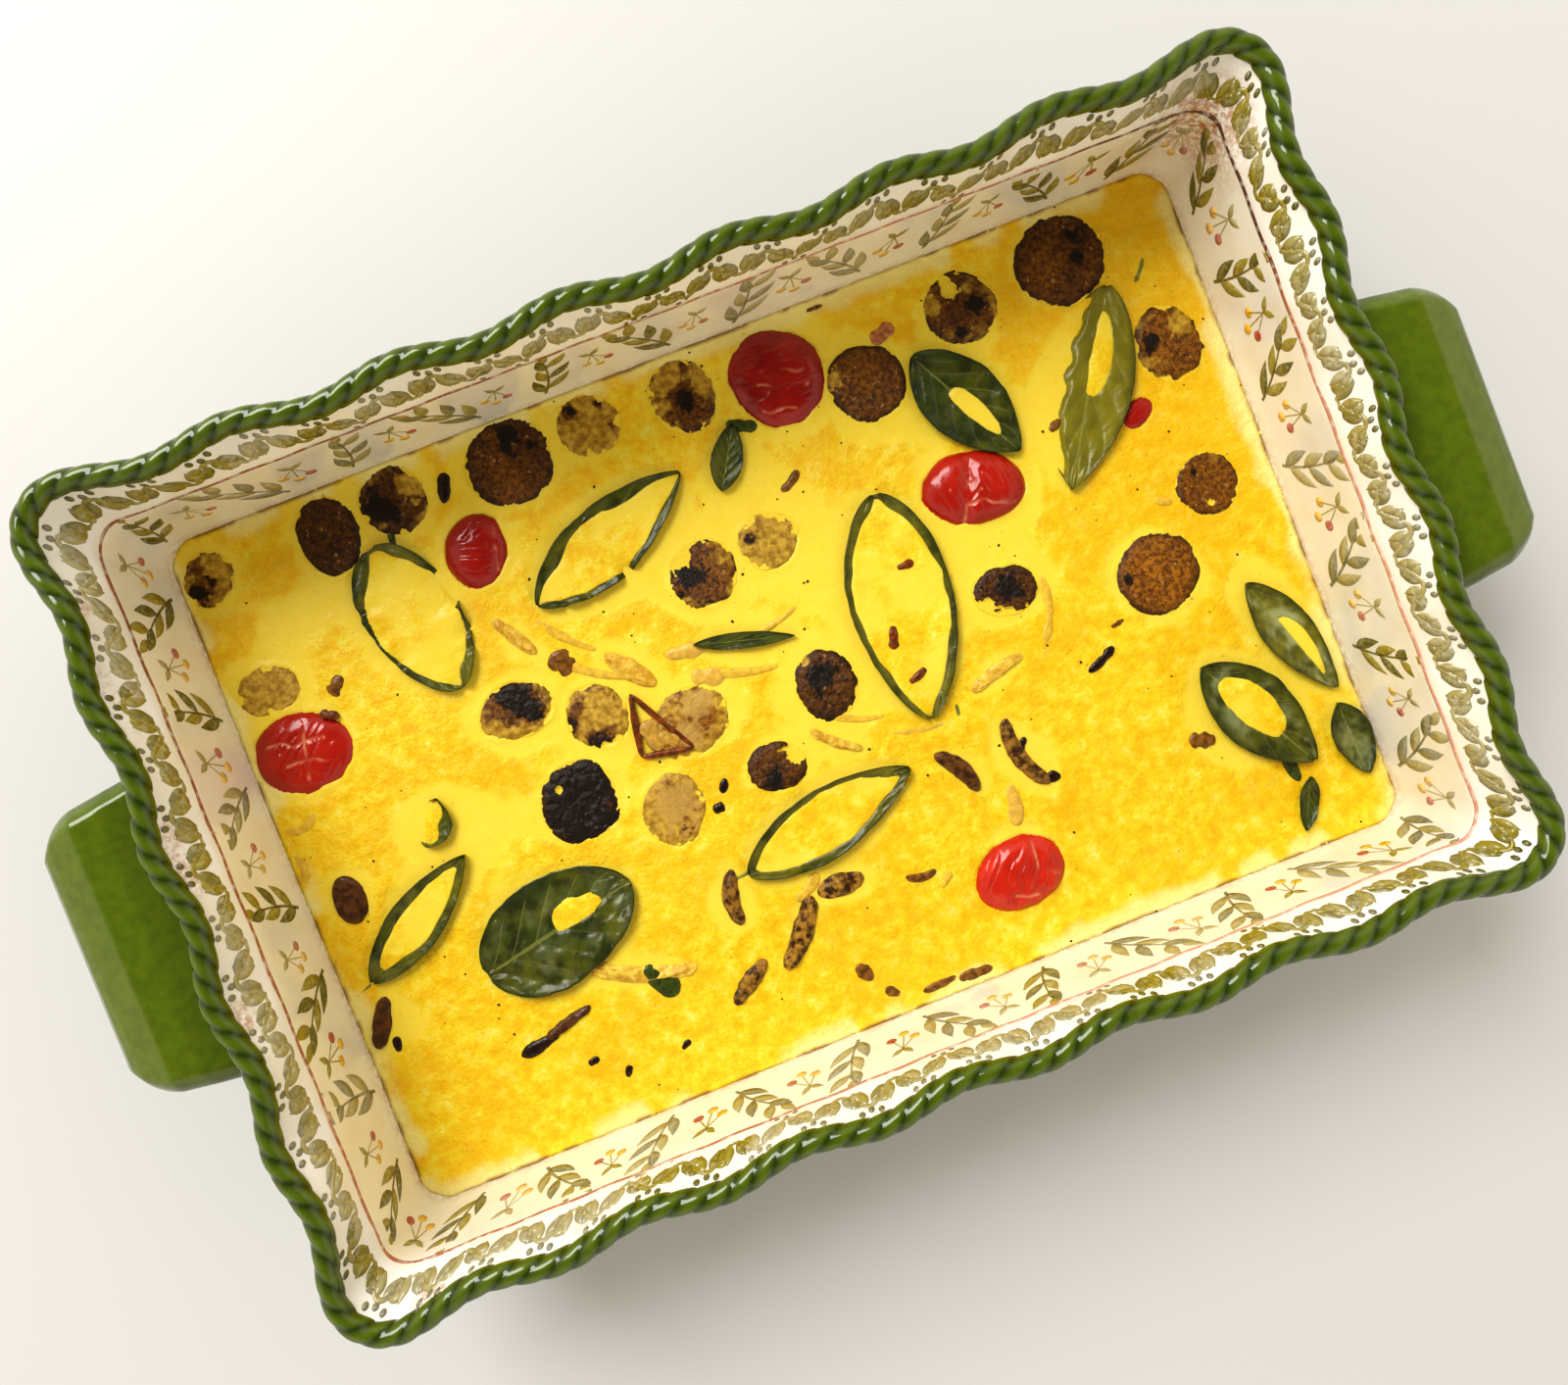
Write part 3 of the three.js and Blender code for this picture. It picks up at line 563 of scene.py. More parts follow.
def smooth_levels(levels, steps):
    """The levels with steps rows between each two, on a curve through them."""
    table = np.array(levels)
    rows, origin = [], []
    for k in range(len(table) - 1):
        before, after = table[max(k - 1, 0)], table[min(k + 2, len(table) - 1)]
        for j in range(steps):
            t = j / steps
            cubic = 0.5 * (2 * table[k] + (table[k + 1] - before) * t
                           + (2 * before - 5 * table[k] + 4 * table[k + 1] - after) * t ** 2
                           + (3 * table[k] - before - 3 * table[k + 1] + after) * t ** 3)
            straight = table[k] + (table[k + 1] - table[k]) * t
            rows.append(cubic if SMOOTH_FROM <= k < SMOOTH_TO else straight)
            origin.append(k)
    return np.array(rows + [table[-1]]), np.array(origin + [len(table) - 1])


def loft(rows, distances):
    """One ring of points for each row, in the order of the rows."""
    rings = []
    for inset, height, corner, wave in rows:
        x, y = plan(distances, inset, corner, wave)
        rings.append(np.column_stack([x, y, np.full(len(x), height)]))
    return np.concatenate(rings)


def baked_on_amount(points):
    """Where juice has baked on: in the far right corner, on the left and near lip and by the egg."""
    x, y, z = points.T
    from_corner = (x - BURNT_CORNER[0]) ** 2 + (y - BURNT_CORNER[1]) ** 2
    corner = np.exp(-from_corner / BURNT_SPREAD) * ramp(z, 30, 55) * ramp(-z, -73, -66)
    on_lip = ramp(z, 66, 71)
    left = 0.8 * np.exp(-((x - SPLASHED_LEFT_X) / SPLASH_WIDTH) ** 2) * on_lip
    left *= ramp(grain(y, z, 9, 4), 0.1, 0.7)
    near = 0.7 * np.exp(-((y - SPLASHED_NEAR_Y) / SPLASH_WIDTH) ** 2) * on_lip
    near *= ramp(grain(x, z, 11, 7), 0.35, 0.8) * ramp(-x, 20, 60)
    seep = 0.75 * ramp(-z, -25, -22.3)
    return np.clip(corner + left + near + seep, 0, 1)


def finish_at(level):
    """The body's finish above a level: the bare foot, the green outside or the cream inside."""
    if level < CLAY_LEVEL:
        return FOOT_FINISH
    return OUTSIDE_FINISH if level < RIM_LEVEL else INSIDE_FINISH


body_rows, body_origin = smooth_levels(BODY_LEVELS, LEVEL_STEPS)
body_stops = stops(ROUND_STEP, CORNER_CELLS)
body_points = loft(body_rows, body_stops)
body_x, body_y, body_z = body_points.T
ring_size = len(body_stops)
last_ring = len(body_points) - ring_size
body_faces = ring_faces(len(body_rows), ring_size)
body_faces += [tuple(range(ring_size))[::-1], tuple(range(last_ring, len(body_points)))]
body_finish = [finish_at(level) for level in body_origin[:-1] for _ in range(ring_size)]
body_finish += [FOOT_FINISH, INSIDE_FINISH]
# Painted shade: the outside is drawn darker up towards the rope, under its overhang.
body_crest_less_shade = BODY_CREST - LIP_SHADE * ramp(body_z, 60, 71) + 0.1 * layered(body_x + body_y, body_z, 20)
make_piece("dish_body", body_points, body_faces, [GREEN, INSIDE, CLAY],
           nodes=["baking_dish"], finish_of=body_finish,
           attributes={"crest_less_shade": body_crest_less_shade, "baked_on": baked_on_amount(body_points)})
print("body", len(body_points), "points")

# %% [markdown]
# ## The lug handles
# Each handle is a thick tongue of clay. Seen from above it tapers to round corners, it dips beside the rope
# and it rounds under at its edge. A grid is laid over that outline, and its top and underside close towards
# each other as the square root of the distance to the edge, which makes a round edge with no seam.

# %% Model the handles
HANDLE_REACH = DISH_HIGH[0]
HANDLE_ROOT, HANDLE_TIP = 46.0, 39.2
HANDLE_START = 173.5
HANDLE_CORNER = 15.0
HANDLE_EDGE = 4.6
HANDLE_FLARE = 5.0
HANDLE_SPLIT = 0.45
HANDLE_TOP = [(171, 62.0), (177, 63.2), (183, 65.0), (191, 68.0), (199, 69.0), (207, 66.9), (212, 64.2),
              (215, 61.0)]
HANDLE_UNDER = [(171, 47.0), (181, 54.0), (190, 58.4), (200, 60.0), (208, 57.4), (215, 56.6)]
HANDLE_ROWS, HANDLE_COLUMNS = 61, 55
SAME_PLACE_M = 1e-5


def handle_half_width(x):
    """Half the handle's width at x, with its corners rounded off towards the tip."""
    share = (x - HANDLE_START) / (HANDLE_REACH - HANDLE_START)
    straight = HANDLE_ROOT + (HANDLE_TIP - HANDLE_ROOT) * share
    flare = HANDLE_FLARE * np.exp(-(x - HANDLE_START) / HANDLE_FLARE)
    past = np.clip(x - (HANDLE_REACH - HANDLE_CORNER), 0, HANDLE_CORNER) / HANDLE_CORNER
    return straight + flare - HANDLE_CORNER * (1 - np.sqrt(np.clip(1 - past ** 2.2, 0, 1)))


def handle_points(side):
    """The top and underside of one handle as two grids, side +1 or -1, with painted shade by the rope, a
    darker rim.
    """
    out = np.sin(np.linspace(0, 1, HANDLE_ROWS) * math.pi / 2)
    across = np.sin(np.linspace(-1, 1, HANDLE_COLUMNS) * math.pi / 2)
    x, v = np.meshgrid(HANDLE_START + (HANDLE_REACH - HANDLE_START) * out, across, indexing="ij")
    half = handle_half_width(x)
    to_edge = np.minimum((1 - np.abs(v)) * half, HANDLE_REACH - x)
    bevel = np.clip(ramp(to_edge / HANDLE_EDGE, -1.0, 1.0) * 2 - 1, 0, 1) ** 0.2
    share = np.sqrt(np.clip(to_edge / HANDLE_EDGE, 0, 1)) * bevel
    top = np.interp(x, *zip(*HANDLE_TOP))
    under = np.interp(x, *zip(*HANDLE_UNDER))
    middle = under + HANDLE_SPLIT * (top - under)
    upper = middle + (top - middle) * share
    lower = middle + (under - middle) * share
    # Painted shade: the glaze is drawn darker in the valley beside the rope, which shades it, and darker
    # along the rim.
    valley = ramp(x, HANDLE_START, HANDLE_START + 13)
    crest_less_shade = 0.26 + 0.30 * valley - 0.16 * (1 - ramp(to_edge, 0.3, 2.6))
    return sheets(side * x, side * v * half, upper, lower), on_both_sheets({"crest_less_shade": crest_less_shade})


for label, side in (("right", 1), ("left", -1)):
    points, numbers = handle_points(side)
    made = make_piece(f"handle_{label}", points, slab_faces(HANDLE_ROWS, HANDLE_COLUMNS), [GREEN],
                      attributes=numbers)
    cleaned = bmesh.new()
    cleaned.from_mesh(made.data)
    bmesh.ops.remove_doubles(cleaned, verts=cleaned.verts, dist=SAME_PLACE_M)
    bmesh.ops.recalc_face_normals(cleaned, faces=cleaned.faces)
    cleaned.to_mesh(made.data)
    cleaned.free()
print("handles reach", round(float(HANDLE_REACH), 1), "mm each way")

# %% [markdown]
# ## The rope
# The rim is moulded as a twisted rope. A twisted thing follows a path by a rule, which is what Geometry Nodes
# are for: the rim's line is swept with a round section, and then each point is drawn in by how close it is to
# a groove. Three strands wind round, so a point's way along the line, plus three times its way round the
# section, tells where in a strand it is. Each strand rises gently and falls sharply to the groove, and its
# height is kept as the attribute crest_less_shade, so that the glaze can pool dark in the groove.

# %% Build the rope with Geometry Nodes
ROPE_RADIUS = 3.4
GROOVE_DEPTH = 0.56
STRANDS = 3
STRAND_LEAN = 1.5
STRAND_FLATNESS = 0.48
ROPE_SINK = 0.35
TURNS = round(ROUND / STRAND_PITCH)
POINTS_PER_TURN = 13
SECTION_POINTS = 30
GROOVE_HEIGHT, GROOVE_CREST, STRAND_CREST = 0.30, 0.06, 0.50
RIM_STEP, RIM_CORNER_CELLS = 1.5, 16


class Tree:
    """A Geometry Nodes tree under way, with named inputs."""

    def __init__(self, name):
        self.group = bpy.data.node_groups.new(name, "GeometryNodeTree")
        self.group.interface.new_socket("Geometry", in_out="INPUT", socket_type="NodeSocketGeometry")
        self.group.interface.new_socket("Geometry", in_out="OUTPUT", socket_type="NodeSocketGeometry")
        self.source = self.group.nodes.new("NodeGroupInput")
        self.sink = self.group.nodes.new("NodeGroupOutput")
        self.keys = {}

    def input(self, name, kind, value=None):
        socket = self.group.interface.new_socket(name, in_out="INPUT", socket_type=kind)
        self.keys[name] = (socket.identifier, value)
        return self.source.outputs[name]

    def node(self, kind, *inputs, **values):
        made = self.group.nodes.new(kind)
        for key, value in values.items():
            setattr(made, key, value)
        for socket, value in inputs:
            self.feed(value, made.inputs[socket])
        return made

    def feed(self, value, socket):
        if isinstance(value, bpy.types.NodeSocket):
            self.group.links.new(value, socket)
        else:
            socket.default_value = value

    def math(self, operation, first, second=0.0):
        return self.node("ShaderNodeMath", (0, first), (1, second), operation=operation).outputs[0]

    def vector(self, operation, first, second):
        return self.node("ShaderNodeVectorMath", (0, first), (1, second), operation=operation).outputs[0]

    def scaled(self, vector, scale):
        return self.node("ShaderNodeVectorMath", (0, vector), ("Scale", scale), operation="SCALE").outputs[0]

    def xyz(self, x=0.0, y=0.0, z=0.0):
        return self.node("ShaderNodeCombineXYZ", ("X", x), ("Y", y), ("Z", z)).outputs[0]

    def end(self, geometry, material):
        """Ends the tree: smooth shading, instances made real, and the finish."""
        smooth = self.node("GeometryNodeSetShadeSmooth", ("Geometry", geometry))
        real = self.node("GeometryNodeRealizeInstances", ("Geometry", smooth.outputs[0]))
        dressed = self.node("GeometryNodeSetMaterial", ("Geometry", real.outputs[0]), ("Material", material))
        self.group.links.new(dressed.outputs[0], self.sink.inputs[0])

    def run(self, carrier, name):
        """Runs the tree on the carrier object and returns its result as a plain piece called name."""
        modifier = carrier.modifiers.new("nodes", "NODES")
        modifier.node_group = self.group
        for identifier, value in self.keys.values():
            if value is not None:
                modifier[identifier] = value
        depsgraph = bpy.context.evaluated_depsgraph_get()
        depsgraph.update()
        mesh = bpy.data.meshes.new_from_object(carrier.evaluated_get(depsgraph), depsgraph=depsgraph)
        carrier.modifiers.remove(modifier)
        bpy.data.objects.remove(carrier)
        mesh.name = name
        return place_object(name, mesh)


def carrier_of(name, points, edges=(), faces=()):
    """An object that only lends its mesh to a tree."""
    mesh = bpy.data.meshes.new(name)
    mesh.from_pydata((np.asarray(points, float) * MM).tolist(), list(edges), list(faces))
    return place_object(name, mesh)


def rope_tree():
    """The rim's line swept round and drawn in along the grooves of the twist."""
    tree = Tree("twisted_rope")
    radius = tree.input("Radius", "NodeSocketFloat", ROPE_RADIUS * MM)
    depth = tree.input("Groove Depth", "NodeSocketFloat", GROOVE_DEPTH * MM)
    turns = tree.input("Turns", "NodeSocketFloat", float(TURNS))
    strands = tree.input("Strands", "NodeSocketFloat", float(STRANDS))
    per_turn = tree.input("Points Per Turn", "NodeSocketInt", POINTS_PER_TURN)
    around = tree.input("Section Points", "NodeSocketInt", SECTION_POINTS)
    finish = tree.input("Finish", "NodeSocketMaterial", GREEN)
    line = tree.node("GeometryNodeMeshToCurve", ("Mesh", tree.source.outputs["Geometry"]))
    level = tree.node("GeometryNodeSetCurveNormal", ("Curve", line.outputs[0]), mode="Z_UP")
    fine = tree.node("GeometryNodeResampleCurve", ("Curve", level.outputs[0]),
                     ("Count", tree.math("MULTIPLY", turns, per_turn)))
    place = tree.node("GeometryNodeInputPosition").outputs[0]
    index = tree.node("GeometryNodeInputIndex").outputs[0]

    def stored(geometry, name, value, kind="FLOAT"):
        kept = tree.node("GeometryNodeStoreNamedAttribute", ("Geometry", geometry), ("Name", name),
                         data_type=kind, domain="POINT")
        tree.feed(value, kept.inputs["Value"])
        return kept.outputs[0]

    def named(name, kind="FLOAT"):
        return tree.node("GeometryNodeInputNamedAttribute", ("Name", name), data_type=kind).outputs[0]

    axis = stored(fine.outputs[0], "axis", place, "FLOAT_VECTOR")
    axis = stored(axis, "along", tree.math("DIVIDE", index, per_turn))
    section = tree.node("GeometryNodeCurvePrimitiveCircle", ("Resolution", around), ("Radius", radius))
    section = stored(section.outputs[0], "about", tree.math("DIVIDE", index, around))
    tube = tree.node("GeometryNodeCurveToMesh", ("Curve", axis), ("Profile Curve", section))
    wound = tree.math("MULTIPLY", named("about"), strands)
    twist = tree.math("FRACT", tree.math("ADD", named("along"), wound))
    leaning = tree.math("POWER", twist, STRAND_LEAN)
    strand = tree.math("POWER", tree.math("SINE", tree.math("MULTIPLY", leaning, math.pi)), STRAND_FLATNESS)
    share = tree.math("DIVIDE", depth, radius)
    draw = tree.math("SUBTRACT", 1.0, tree.math("MULTIPLY", share, tree.math("SUBTRACT", 1.0, strand)))
    out = tree.vector("SUBTRACT", place, named("axis", "FLOAT_VECTOR"))
    drawn = tree.vector("ADD", named("axis", "FLOAT_VECTOR"), tree.scaled(out, draw))
    heights = stored(tube.outputs[0], "strand_height", strand)
    shaped = tree.node("GeometryNodeSetPosition", ("Geometry", heights), ("Position", drawn))
    shade = tree.node("ShaderNodeMapRange", ("Value", named("strand_height")), ("From Min", GROOVE_HEIGHT),
                      ("From Max", 1.0), ("To Min", GROOVE_CREST), ("To Max", STRAND_CREST))
    tree.end(stored(shaped.outputs[0], "crest_less_shade", shade.outputs[0]), finish)
    return tree


rope_stops = stops(RIM_STEP, RIM_CORNER_CELLS)
rope_x, rope_y = plan(rope_stops, 0.0, ROPE_CORNER, 1.0)
rope_line = np.column_stack([rope_x, rope_y, np.full(len(rope_x), ROPE_Z - ROPE_SINK)])
rope_edges = [(i, (i + 1) % len(rope_line)) for i in range(len(rope_line))]
rope = rope_tree().run(carrier_of("rim_line", rope_line, rope_edges), "rope_rim")
carry(rope)
print("rope", TURNS, "turns,", len(rope.data.polygons), "faces")

# %% [markdown]
# ## The painted decoration
# The cream glaze carries a painted pattern: a winding vine on the lip, a fine line at the bend and, on the
# wall, sprigs that lean one way and then the other with berries between them. One motif of each kind is
# drawn flat, as brush strokes that are thin closed ribbons. Geometry Nodes lay it out in a row as long as the
# dish is round, give each copy its own tone and size, and then wrap the row onto the glaze: the flat place of
# a point is read as a place in the map of the glaze surface, which gives back the place and the direction out
# of it.

# %% Draw the motifs and wrap them onto the glaze
BRUSH_LIFT = 0.07
BRUSH_SINK = 0.12
BRUSH_POINTS = 9
OLIVE, MID_OLIVE, DEEP_OLIVE, BERRY, SUN = 0.0, 0.17, 0.34, 0.67, 1.0
OLIVE_PAINT, DEEP_OLIVE_PAINT = (0.300, 0.245, 0.012), (0.120, 0.112, 0.006)
BERRY_PAINT, SUN_PAINT = (0.52, 0.030, 0.020), (0.88, 0.52, 0.015)
LIP_CELLS, SPRIG_CELLS, BERRY_CELLS = 71, 36, 36
VINE_SWING, VINE_HALF, WAVE_POINTS = 2.9, 0.70, 25
VINE_LEAVES = [(22, OLIVE), (62, MID_OLIVE), (102, OLIVE), (142, MID_OLIVE)]
VINE_MIDDLE_TURN = 82
UP_THE_WALL = -90
SPRIG_HEIGHT, SPRIG_FOOT, SPRIG_LEAN, STEM_POINTS = 27, 14, 5.5, 18
BERRIES = [(-3.6, 3.4, BERRY), (0.4, 6.4, SUN), (4.0, 2.4, SUN)]
STALK_FOOT, STALK_HALF, STALK_POINTS = (0.3, -4.2), 0.2, 8
WOBBLE = 0.12
PAINT_LEVELS = [
    # distance down the glaze, inset, height, corner radius, share of the waves
    (0.0, 2.5, 73.0, 9.9, 1.0),
    (2.8, 4.2, 70.4, 9.45, 0.8),
    (6.1, 5.8, 67.2, 9.3, 0.57),
    (9.4, 7.3, 63.9, 9.1, 0.27),
    (13.6, 8.5, 60.0, 9.0, 0.0),
    (23.6, 8.65, 50.0, 9.0, 0.0),
    (37.6, 8.8, 36.0, 9.0, 0.0),
    (49.6, 9.0, 24.0, 9.0, 0.0),
]
PAINT_LENGTH = PAINT_LEVELS[-1][0]
MAP_STEP, MAP_CORNER_CELLS, MAP_ROWS = 2.4, 12, 26
SEAM_MARGIN = 1e-5


def ribbon(line, half_widths, pigment):
    """One brush stroke: a thin closed ribbon along a flat line, with its pigment at each point."""
    line, half = np.asarray(line, float), np.asarray(half_widths, float)[:, None]
    ahead = np.gradient(line, axis=0)
    ahead /= np.linalg.norm(ahead, axis=1, keepdims=True)
    aside = np.column_stack([-ahead[:, 1], ahead[:, 0]]) * half
    high, low = np.full((len(line), 1), BRUSH_LIFT), np.full((len(line), 1), -BRUSH_SINK)
    ring = [np.hstack([line + aside, high]), np.hstack([line + aside, low]),
            np.hstack([line - aside, low]), np.hstack([line - aside, high])]
    points = np.stack(ring, 1).reshape(-1, 3)
    faces = [(4 * i + k, 4 * i + (k + 1) % 4, 4 * i + 4 + (k + 1) % 4, 4 * i + 4 + k)
             for i in range(len(line) - 1) for k in range(4)]
    faces += [(3, 2, 1, 0), tuple(4 * (len(line) - 1) + k for k in range(4))]
    return points, faces, np.full(len(points), pigment)


def leaflet(x, y, turn, length, width, pigment, bend=0.0):
    """A pointed brush mark from its root at x, y."""
    t = np.linspace(0, 1, BRUSH_POINTS)
    heading = math.radians(turn) + bend * t
    steps = np.column_stack([np.cos(heading), np.sin(heading)]) * length / (BRUSH_POINTS - 1)
    line = np.array([x, y]) + np.vstack([[0, 0], np.cumsum(steps[1:], axis=0)])
    return ribbon(line, np.maximum(width / 2 * np.sin(math.pi * t ** 0.8), 0.06), pigment)


def dab(x, y, size, pigment):
    """A round dab of the brush."""
    t = np.linspace(-1, 1, BRUSH_POINTS)
    line = np.column_stack([x + size * t, np.full(BRUSH_POINTS, y)])
    return ribbon(line, np.maximum(size * np.sqrt(1 - t ** 2), 0.05), pigment)


def joined(strokes):
    """Many strokes as one mesh."""
    points, faces, pigments, count = [], [], [], 0
    for one_points, one_faces, one_pigments in strokes:
        points.append(one_points)
        faces += [tuple(count + k for k in face) for face in one_faces]
        pigments.append(one_pigments)
        count += len(one_points)
    return np.concatenate(points), faces, np.concatenate(pigments)


def vine_motif(cell):
    """One wave of the vine, with a leaf pair in each bend and three dots in the hollow."""
    t = np.linspace(-0.5, 0.5, WAVE_POINTS)
    wave = VINE_SWING * np.sin(2 * math.pi * t)
    strokes = [ribbon(np.column_stack([t * cell, wave]), np.full(WAVE_POINTS, VINE_HALF), OLIVE)]
    for at, sign in ((-0.25, 1), (0.25, -1)):
        x, y = at * cell, VINE_SWING * math.sin(2 * math.pi * at)
        for turn, pigment in VINE_LEAVES:
            root = x - (turn - VINE_MIDDLE_TURN) * 0.045
            strokes.append(leaflet(root, y + sign * 0.4, sign * turn, 6.0, 3.0, pigment))
        for k in range(3):
            strokes.append(dab(x + (k - 1) * 2.8, y - sign * (2.1 - 0.8 * (k % 2)), 0.95, DEEP_OLIVE))
    return joined(strokes)


def sprig_stem(t):
    """Where the sprig's stem is at the share t of its length."""
    return SPRIG_LEAN * t ** 2 - 2.0, SPRIG_FOOT - SPRIG_HEIGHT * t


def sprig_motif():
    """A curved stem with pairs of small leaflets, growing up the wall."""
    t = np.linspace(0, 1, STEM_POINTS)
    stem = np.column_stack(sprig_stem(t))
    strokes = [ribbon(stem, 0.55 - 0.30 * t, DEEP_OLIVE)]
    for k, at in enumerate(np.linspace(0.06, 0.78, 3)):
        x, y = sprig_stem(at)
        size = 14.0 - 5.0 * at
        strokes.append(leaflet(x, y, UP_THE_WALL + 40, size, 4.0, OLIVE if k % 2 else DEEP_OLIVE, bend=-0.35))
        strokes.append(leaflet(x, y - 2.2, UP_THE_WALL - 34, size, 4.0, DEEP_OLIVE if k % 2 else OLIVE,
                               bend=0.35))
    strokes.append(leaflet(*stem[-1], UP_THE_WALL + 12, 8.0, 3.2, OLIVE))
    return joined(strokes)


def berry_motif():
    """A red berry and two yellow ones on thin stalks."""
    strokes = []
    for x, y, pigment in BERRIES:
        line = np.linspace(STALK_FOOT, (x, y), STALK_POINTS)
        strokes.append(ribbon(line, np.full(STALK_POINTS, STALK_HALF), OLIVE))
        strokes.append(dab(x, y, 1.75, pigment))
    for turn in (UP_THE_WALL + 38, UP_THE_WALL - 42):
        strokes.append(leaflet(*STALK_FOOT, turn, 5.4, 2.2, OLIVE))
    return joined(strokes)


def paint_material():
    """The pattern's pigments, a little worn and each copy faded by its own tone."""
    made, tree, shader, place = new_finish("painted_glaze")
    pigment = colours(tree, read(tree, "pigment"), (OLIVE, OLIVE_PAINT), (DEEP_OLIVE, DEEP_OLIVE_PAINT),
                      (BERRY, BERRY_PAINT), (SUN, SUN_PAINT))
    worn = reshape(tree, noise_at(tree, place, 1.6, 3), 0.45, 0.75, 0.0, 0.22)
    faded = reshape(tree, read(tree, "tone"), 0.0, 1.0, 0.0, 0.25)
    tree.links.new(overlaid(tree, pigment, (worn, CREAM), (faded, CREAM)), shader.inputs["Base Color"])
    gloss(shader, **GLAZE_GLOSS)
    return made


def glaze_map():
    """The inner glaze surface with a map whose u runs round the dish and whose v runs down it."""
    distances = stops(MAP_STEP, MAP_CORNER_CELLS)
    table = np.array(PAINT_LEVELS)
    down = np.linspace(0, PAINT_LENGTH, MAP_ROWS)
    rows = np.column_stack([np.interp(down, table[:, 0], table[:, k]) for k in range(1, 5)])
    points, count = loft(rows, distances), len(distances)
    lent = carrier_of("glaze_map", points, faces=ring_faces(len(rows), count))
    layer = lent.data.uv_layers.new(name="flat")
    u = np.append(distances, ROUND) / ROUND
    spots = [(u[i + di], down[k + dk] / PAINT_LENGTH) for k in range(len(rows) - 1) for i in range(count)
             for di, dk in ((0, 0), (1, 0), (1, 1), (0, 1))]
    layer.data.foreach_set("uv", np.array(spots, np.float32).ravel())
    return lent


def row_tree(name, cells, row_at, shift, lean, size_spread, glaze, seed):
    """A row of motifs along the dish, wrapped onto the glaze."""
    tree = Tree(name)
    count = tree.input("Cells", "NodeSocketInt", cells)
    middle = tree.input("Row Place", "NodeSocketFloat", row_at * MM)
    start_at = tree.input("Shift", "NodeSocketFloat", shift)
    leaning = tree.input("Lean", "NodeSocketFloat", math.radians(lean))
    spread = tree.input("Size Spread", "NodeSocketFloat", size_spread)
    start = tree.input("Seed", "NodeSocketInt", seed)
    surface = tree.input("Glaze", "NodeSocketObject", glaze)
    paint = tree.input("Finish", "NodeSocketMaterial", PAINT)
    cell = tree.math("DIVIDE", ROUND * MM, count)
    line = tree.node("GeometryNodeMeshLine", ("Count", count), ("Offset", tree.xyz(cell)),
                     ("Start Location", tree.xyz(tree.math("MULTIPLY", cell, start_at), middle)))
    index = tree.node("GeometryNodeInputIndex").outputs[0]
    side = tree.math("SUBTRACT", 1.0, tree.math("MULTIPLY", tree.math("MODULO", index, 2.0), 2.0))
    wobble = tree.node("FunctionNodeRandomValue", ("Min", -WOBBLE), ("Max", WOBBLE), ("Seed", start))
    angle = tree.math("MULTIPLY", leaning, tree.math("ADD", side, wobble.outputs["Value"]))
    size = tree.node("FunctionNodeRandomValue", ("Min", tree.math("SUBTRACT", 1.0, spread)),
                     ("Max", tree.math("ADD", 1.0, spread)), ("Seed", tree.math("ADD", start, 1.0)))
    placed = tree.node("GeometryNodeInstanceOnPoints", ("Points", line.outputs[0]),
                       ("Instance", tree.source.outputs["Geometry"]), ("Rotation", tree.xyz(z=angle)),
                       ("Scale", size.outputs["Value"]))
    random = tree.node("FunctionNodeRandomValue", ("Seed", tree.math("ADD", start, 2.0)))
    toned = tree.node("GeometryNodeStoreNamedAttribute", ("Geometry", placed.outputs[0]), ("Name", "tone"),
                      ("Value", random.outputs["Value"]), data_type="FLOAT", domain="INSTANCE")
    real = tree.node("GeometryNodeRealizeInstances", ("Geometry", toned.outputs[0]))
    flat = tree.node("ShaderNodeSeparateXYZ", ("Vector", tree.node("GeometryNodeInputPosition").outputs[0]))
    turned = tree.math("FRACT", tree.math("DIVIDE", flat.outputs[0], ROUND * MM))
    inside = tree.math("MINIMUM", tree.math("MAXIMUM", turned, SEAM_MARGIN), 1 - SEAM_MARGIN)
    spot = tree.xyz(inside, tree.math("DIVIDE", flat.outputs[1], PAINT_LENGTH * MM))
    shown =tree.node("GeometryNodeObjectInfo", ("Object", surface))
    uv = tree.node("GeometryNodeInputNamedAttribute", ("Name", "flat"), data_type="FLOAT_VECTOR")

    def sampled(value):
        found = tree.node("GeometryNodeSampleUVSurface", ("Mesh", shown.outputs["Geometry"]),
                          ("Sample UV", spot), data_type="FLOAT_VECTOR")
        named = [socket for socket in found.inputs if socket.name in ("UV Map", "Source UV Map")][0]
        tree.feed(uv.outputs[0], named)
        tree.feed(value, found.inputs["Value"])
        return found.outputs["Value"]

    place = sampled(tree.node("GeometryNodeInputPosition").outputs[0])
    out = sampled(tree.node("GeometryNodeInputNormal").outputs[0])
    lifted = tree.vector("ADD", place, tree.scaled(out, flat.outputs[2]))
    wrapped = tree.node("GeometryNodeSetPosition", ("Geometry", real.outputs[0]), ("Position", lifted))
    tree.end(wrapped.outputs[0], paint)
    return tree


def painted_row(name, motif, cells, row_at, shift, lean, spread, seed):
    """Paints one row of a motif and returns how many faces it took."""
    points, faces, pigments = motif
    lent = carrier_of(name + "_motif", points, faces=faces)
    keep_numbers(lent.data, "pigment", pigments)
    row = row_tree(name + "_row", cells, row_at, shift, lean, spread, glaze, seed).run(lent, name)
    carry(row)
    return len(row.data.polygons)


